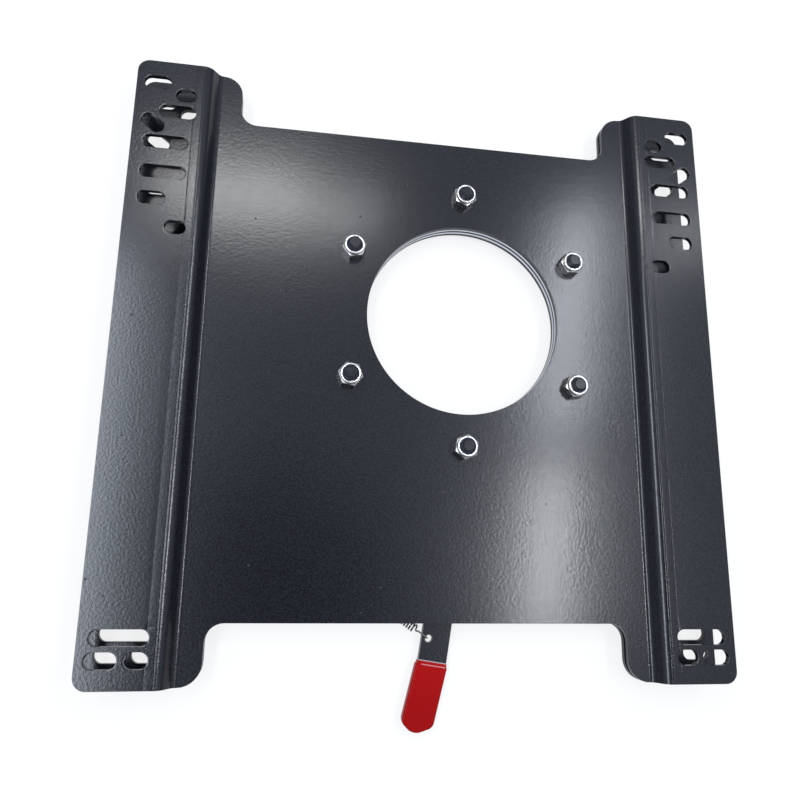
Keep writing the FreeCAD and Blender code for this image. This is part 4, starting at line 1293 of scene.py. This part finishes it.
# Camera: place in metres, and the directions of its right, its top and its back
CAMERA_PLACE = (-0.08144, -0.10823, 0.42247)
CAMERA_AXES = ((0.98759, 0.01636, 0.15619), (-0.05004, 0.97549, 0.21426), (-0.14886, -0.21942, 0.96421))


class SEATBASE_OT_stage(bpy.types.Operator):
    """Pale floor, soft lamps, plain surroundings and the camera"""

    bl_idname = "seatbase.stage"
    bl_label = "Stage"

    def execute(self, context):
        scene = context.scene
        scene.view_settings.view_transform = "Standard"
        self.floor(scene)
        self.lamps(scene)
        self.surroundings(scene)
        self.camera(scene)
        return {"FINISHED"}

    def floor(self, scene):
        stage = settings("stage")
        finish = Finish("floor")
        rays = finish.node("ShaderNodeLightPath", output="Is Camera Ray")
        glossy = finish.node("ShaderNodeLightPath", output="Is Glossy Ray")
        seen = rays.maths("MAXIMUM", glossy * 0.5) * stage.floor_glow
        tone = finish.mix(rays, shaded(stage.floor_colour, 0.75), stage.floor_colour)
        pale = finish.node("ShaderNodeBsdfDiffuse", None, {"Color": tone}, "BSDF")
        glow = finish.node("ShaderNodeEmission", None, {"Color": (1, 1, 1, 1), "Strength": 1.0}, "Emission")
        both = finish.node("ShaderNodeMixShader", None, {0: seen, 1: pale, 2: glow}, "Shader")
        finish.node("ShaderNodeOutputMaterial", None, {"Surface": both})
        half_width, drop = 6.0, 0.3 * MM
        bm = bmesh.new()
        bmesh.ops.create_grid(bm, x_segments=1, y_segments=1, size=half_width)
        bmesh.ops.translate(bm, vec=(0, 0, -drop), verts=bm.verts[:])
        mesh = bpy.data.meshes.new("floor")
        bm.to_mesh(mesh)
        bm.free()
        mesh.materials.append(finish.material)
        floor = bpy.data.objects.new("floor", mesh)
        scene.collection.objects.link(floor)

    def lamps(self, scene):
        stage = settings("stage")
        # Name, place to the right and to the rear, width and depth in mm, turn in degrees, radiance and tint
        rows = (
            ("rear_left_low", -145, 685, 510, 50, 0.0, 17.0, (1.0, 1.0, 1.0)),
            ("rear_left_high", -230, 737, 340, 50, 0.0, 17.0, (1.0, 1.0, 1.0)),
            ("side_rear", 590, 455, 70, 590, -7.5, 22.0, (0.94, 0.99, 1.07)),
            ("side_front", 520, -110, 70, 420, -6.0, 26.0, (0.97, 0.99, 1.04)),
            ("far_left", -570, 30, 240, 1040, 0.0, 7.8, (0.91, 0.98, 1.11)),
            ("rear_right", 920, 700, 120, 120, 0.0, 8.0, (0.97, 0.99, 1.04)),
        )
        for name, x, y, width, depth, turn, radiance, tint in rows:
            lamp = bpy.data.lights.new(name, "AREA")
            lamp.shape = "RECTANGLE"
            lamp.size, lamp.size_y = width * MM, depth * MM
            lamp.energy = radiance * stage.lamp_power * POWER_PER_RADIANCE * lamp.size * lamp.size_y
            lamp.color = tint
            place = bpy.data.objects.new(name, lamp)
            place.location = (x * MM, y * MM, stage.lamp_height)
            place.rotation_euler.z = math.radians(turn)
            scene.collection.objects.link(place)

    def surroundings(self, scene):
        stage = settings("stage")
        world = bpy.data.worlds.new("surroundings")
        world.use_nodes = True
        scene.world = world
        tree = world.node_tree
        tree.nodes.clear()
        finish = Finish.__new__(Finish)
        finish.tree = tree
        direction = finish.node("ShaderNodeTexCoord", output="Generated")
        up = finish.node("ShaderNodeSeparateXYZ", None, {"Vector": direction}, "Z")
        shade = finish.vector_maths("DOT_PRODUCT", direction, DARK_PATCH, "Value")
        brightness = stage.horizon + up.band(0.15, 0.55) * (stage.zenith - stage.horizon)
        brightness = brightness * (1.0 - shade.band(0.968, 0.999) * 0.9)
        seen = finish.node("ShaderNodeLightPath", output="Is Camera Ray")
        strength = brightness.maths("MAXIMUM", seen)
        tint = finish.mix(seen, (0.86, 0.95, 1.10), (1.0, 1.0, 1.0))
        background = finish.node("ShaderNodeBackground", None, {"Color": tint, "Strength": strength})
        finish.node("ShaderNodeOutputWorld", None, {"Surface": background})

    def camera(self, scene):
        lens = bpy.data.cameras.new("camera")
        lens.sensor_width, lens.lens = 36.0, 32.06
        lens.shift_x, lens.shift_y = 0.00516, -0.0133
        lens.clip_start, lens.clip_end = 0.01, 50.0
        camera = bpy.data.objects.new("camera", lens)
        turn = Matrix(CAMERA_AXES).transposed().to_4x4()
        camera.matrix_world = Matrix.Translation(CAMERA_PLACE) @ turn
        scene.collection.objects.link(camera)
        scene.camera = camera


OPERATORS = (
    SEATBASE_OT_upper_plate,
    SEATBASE_OT_lower_plate,
    SEATBASE_OT_rings,
    SEATBASE_OT_bolts,
    SEATBASE_OT_nuts,
    SEATBASE_OT_inserts,
    SEATBASE_OT_lever,
    SEATBASE_OT_sleeve,
    SEATBASE_OT_pivot,
    SEATBASE_OT_keeper,
    SEATBASE_OT_spring,
    SEATBASE_OT_stage,
)


class SEATBASE_PT_panel(bpy.types.Panel):
    """Pieces of the seat base, with their sizes and colours"""

    bl_idname = "SEATBASE_PT_panel"
    bl_label = "Seat base"
    bl_space_type = "VIEW_3D"
    bl_region_type = "UI"
    bl_category = "Seat Base"

    def draw(self, context):
        for group in GROUPS:
            box = self.layout.box()
            for name in GROUPS[group].__annotations__:
                box.prop(settings(group), name)
        for operator in OPERATORS:
            self.layout.operator(operator.bl_idname)


CLASSES = tuple(GROUPS.values()) + OPERATORS + (SEATBASE_PT_panel,)


def register():
    for cls in CLASSES:
        bpy.utils.register_class(cls)
    for group, cls in GROUPS.items():
        setattr(bpy.types.Scene, "seat_base_" + group, PointerProperty(type=cls))


def unregister():
    for group in GROUPS:
        delattr(bpy.types.Scene, "seat_base_" + group)
    for cls in reversed(CLASSES):
        bpy.utils.unregister_class(cls)


def main():
    register()
    for operator in OPERATORS:
        space, name = operator.bl_idname.split(".")
        getattr(getattr(bpy.ops, space), name)()


if __name__ == "__main__":
    main()
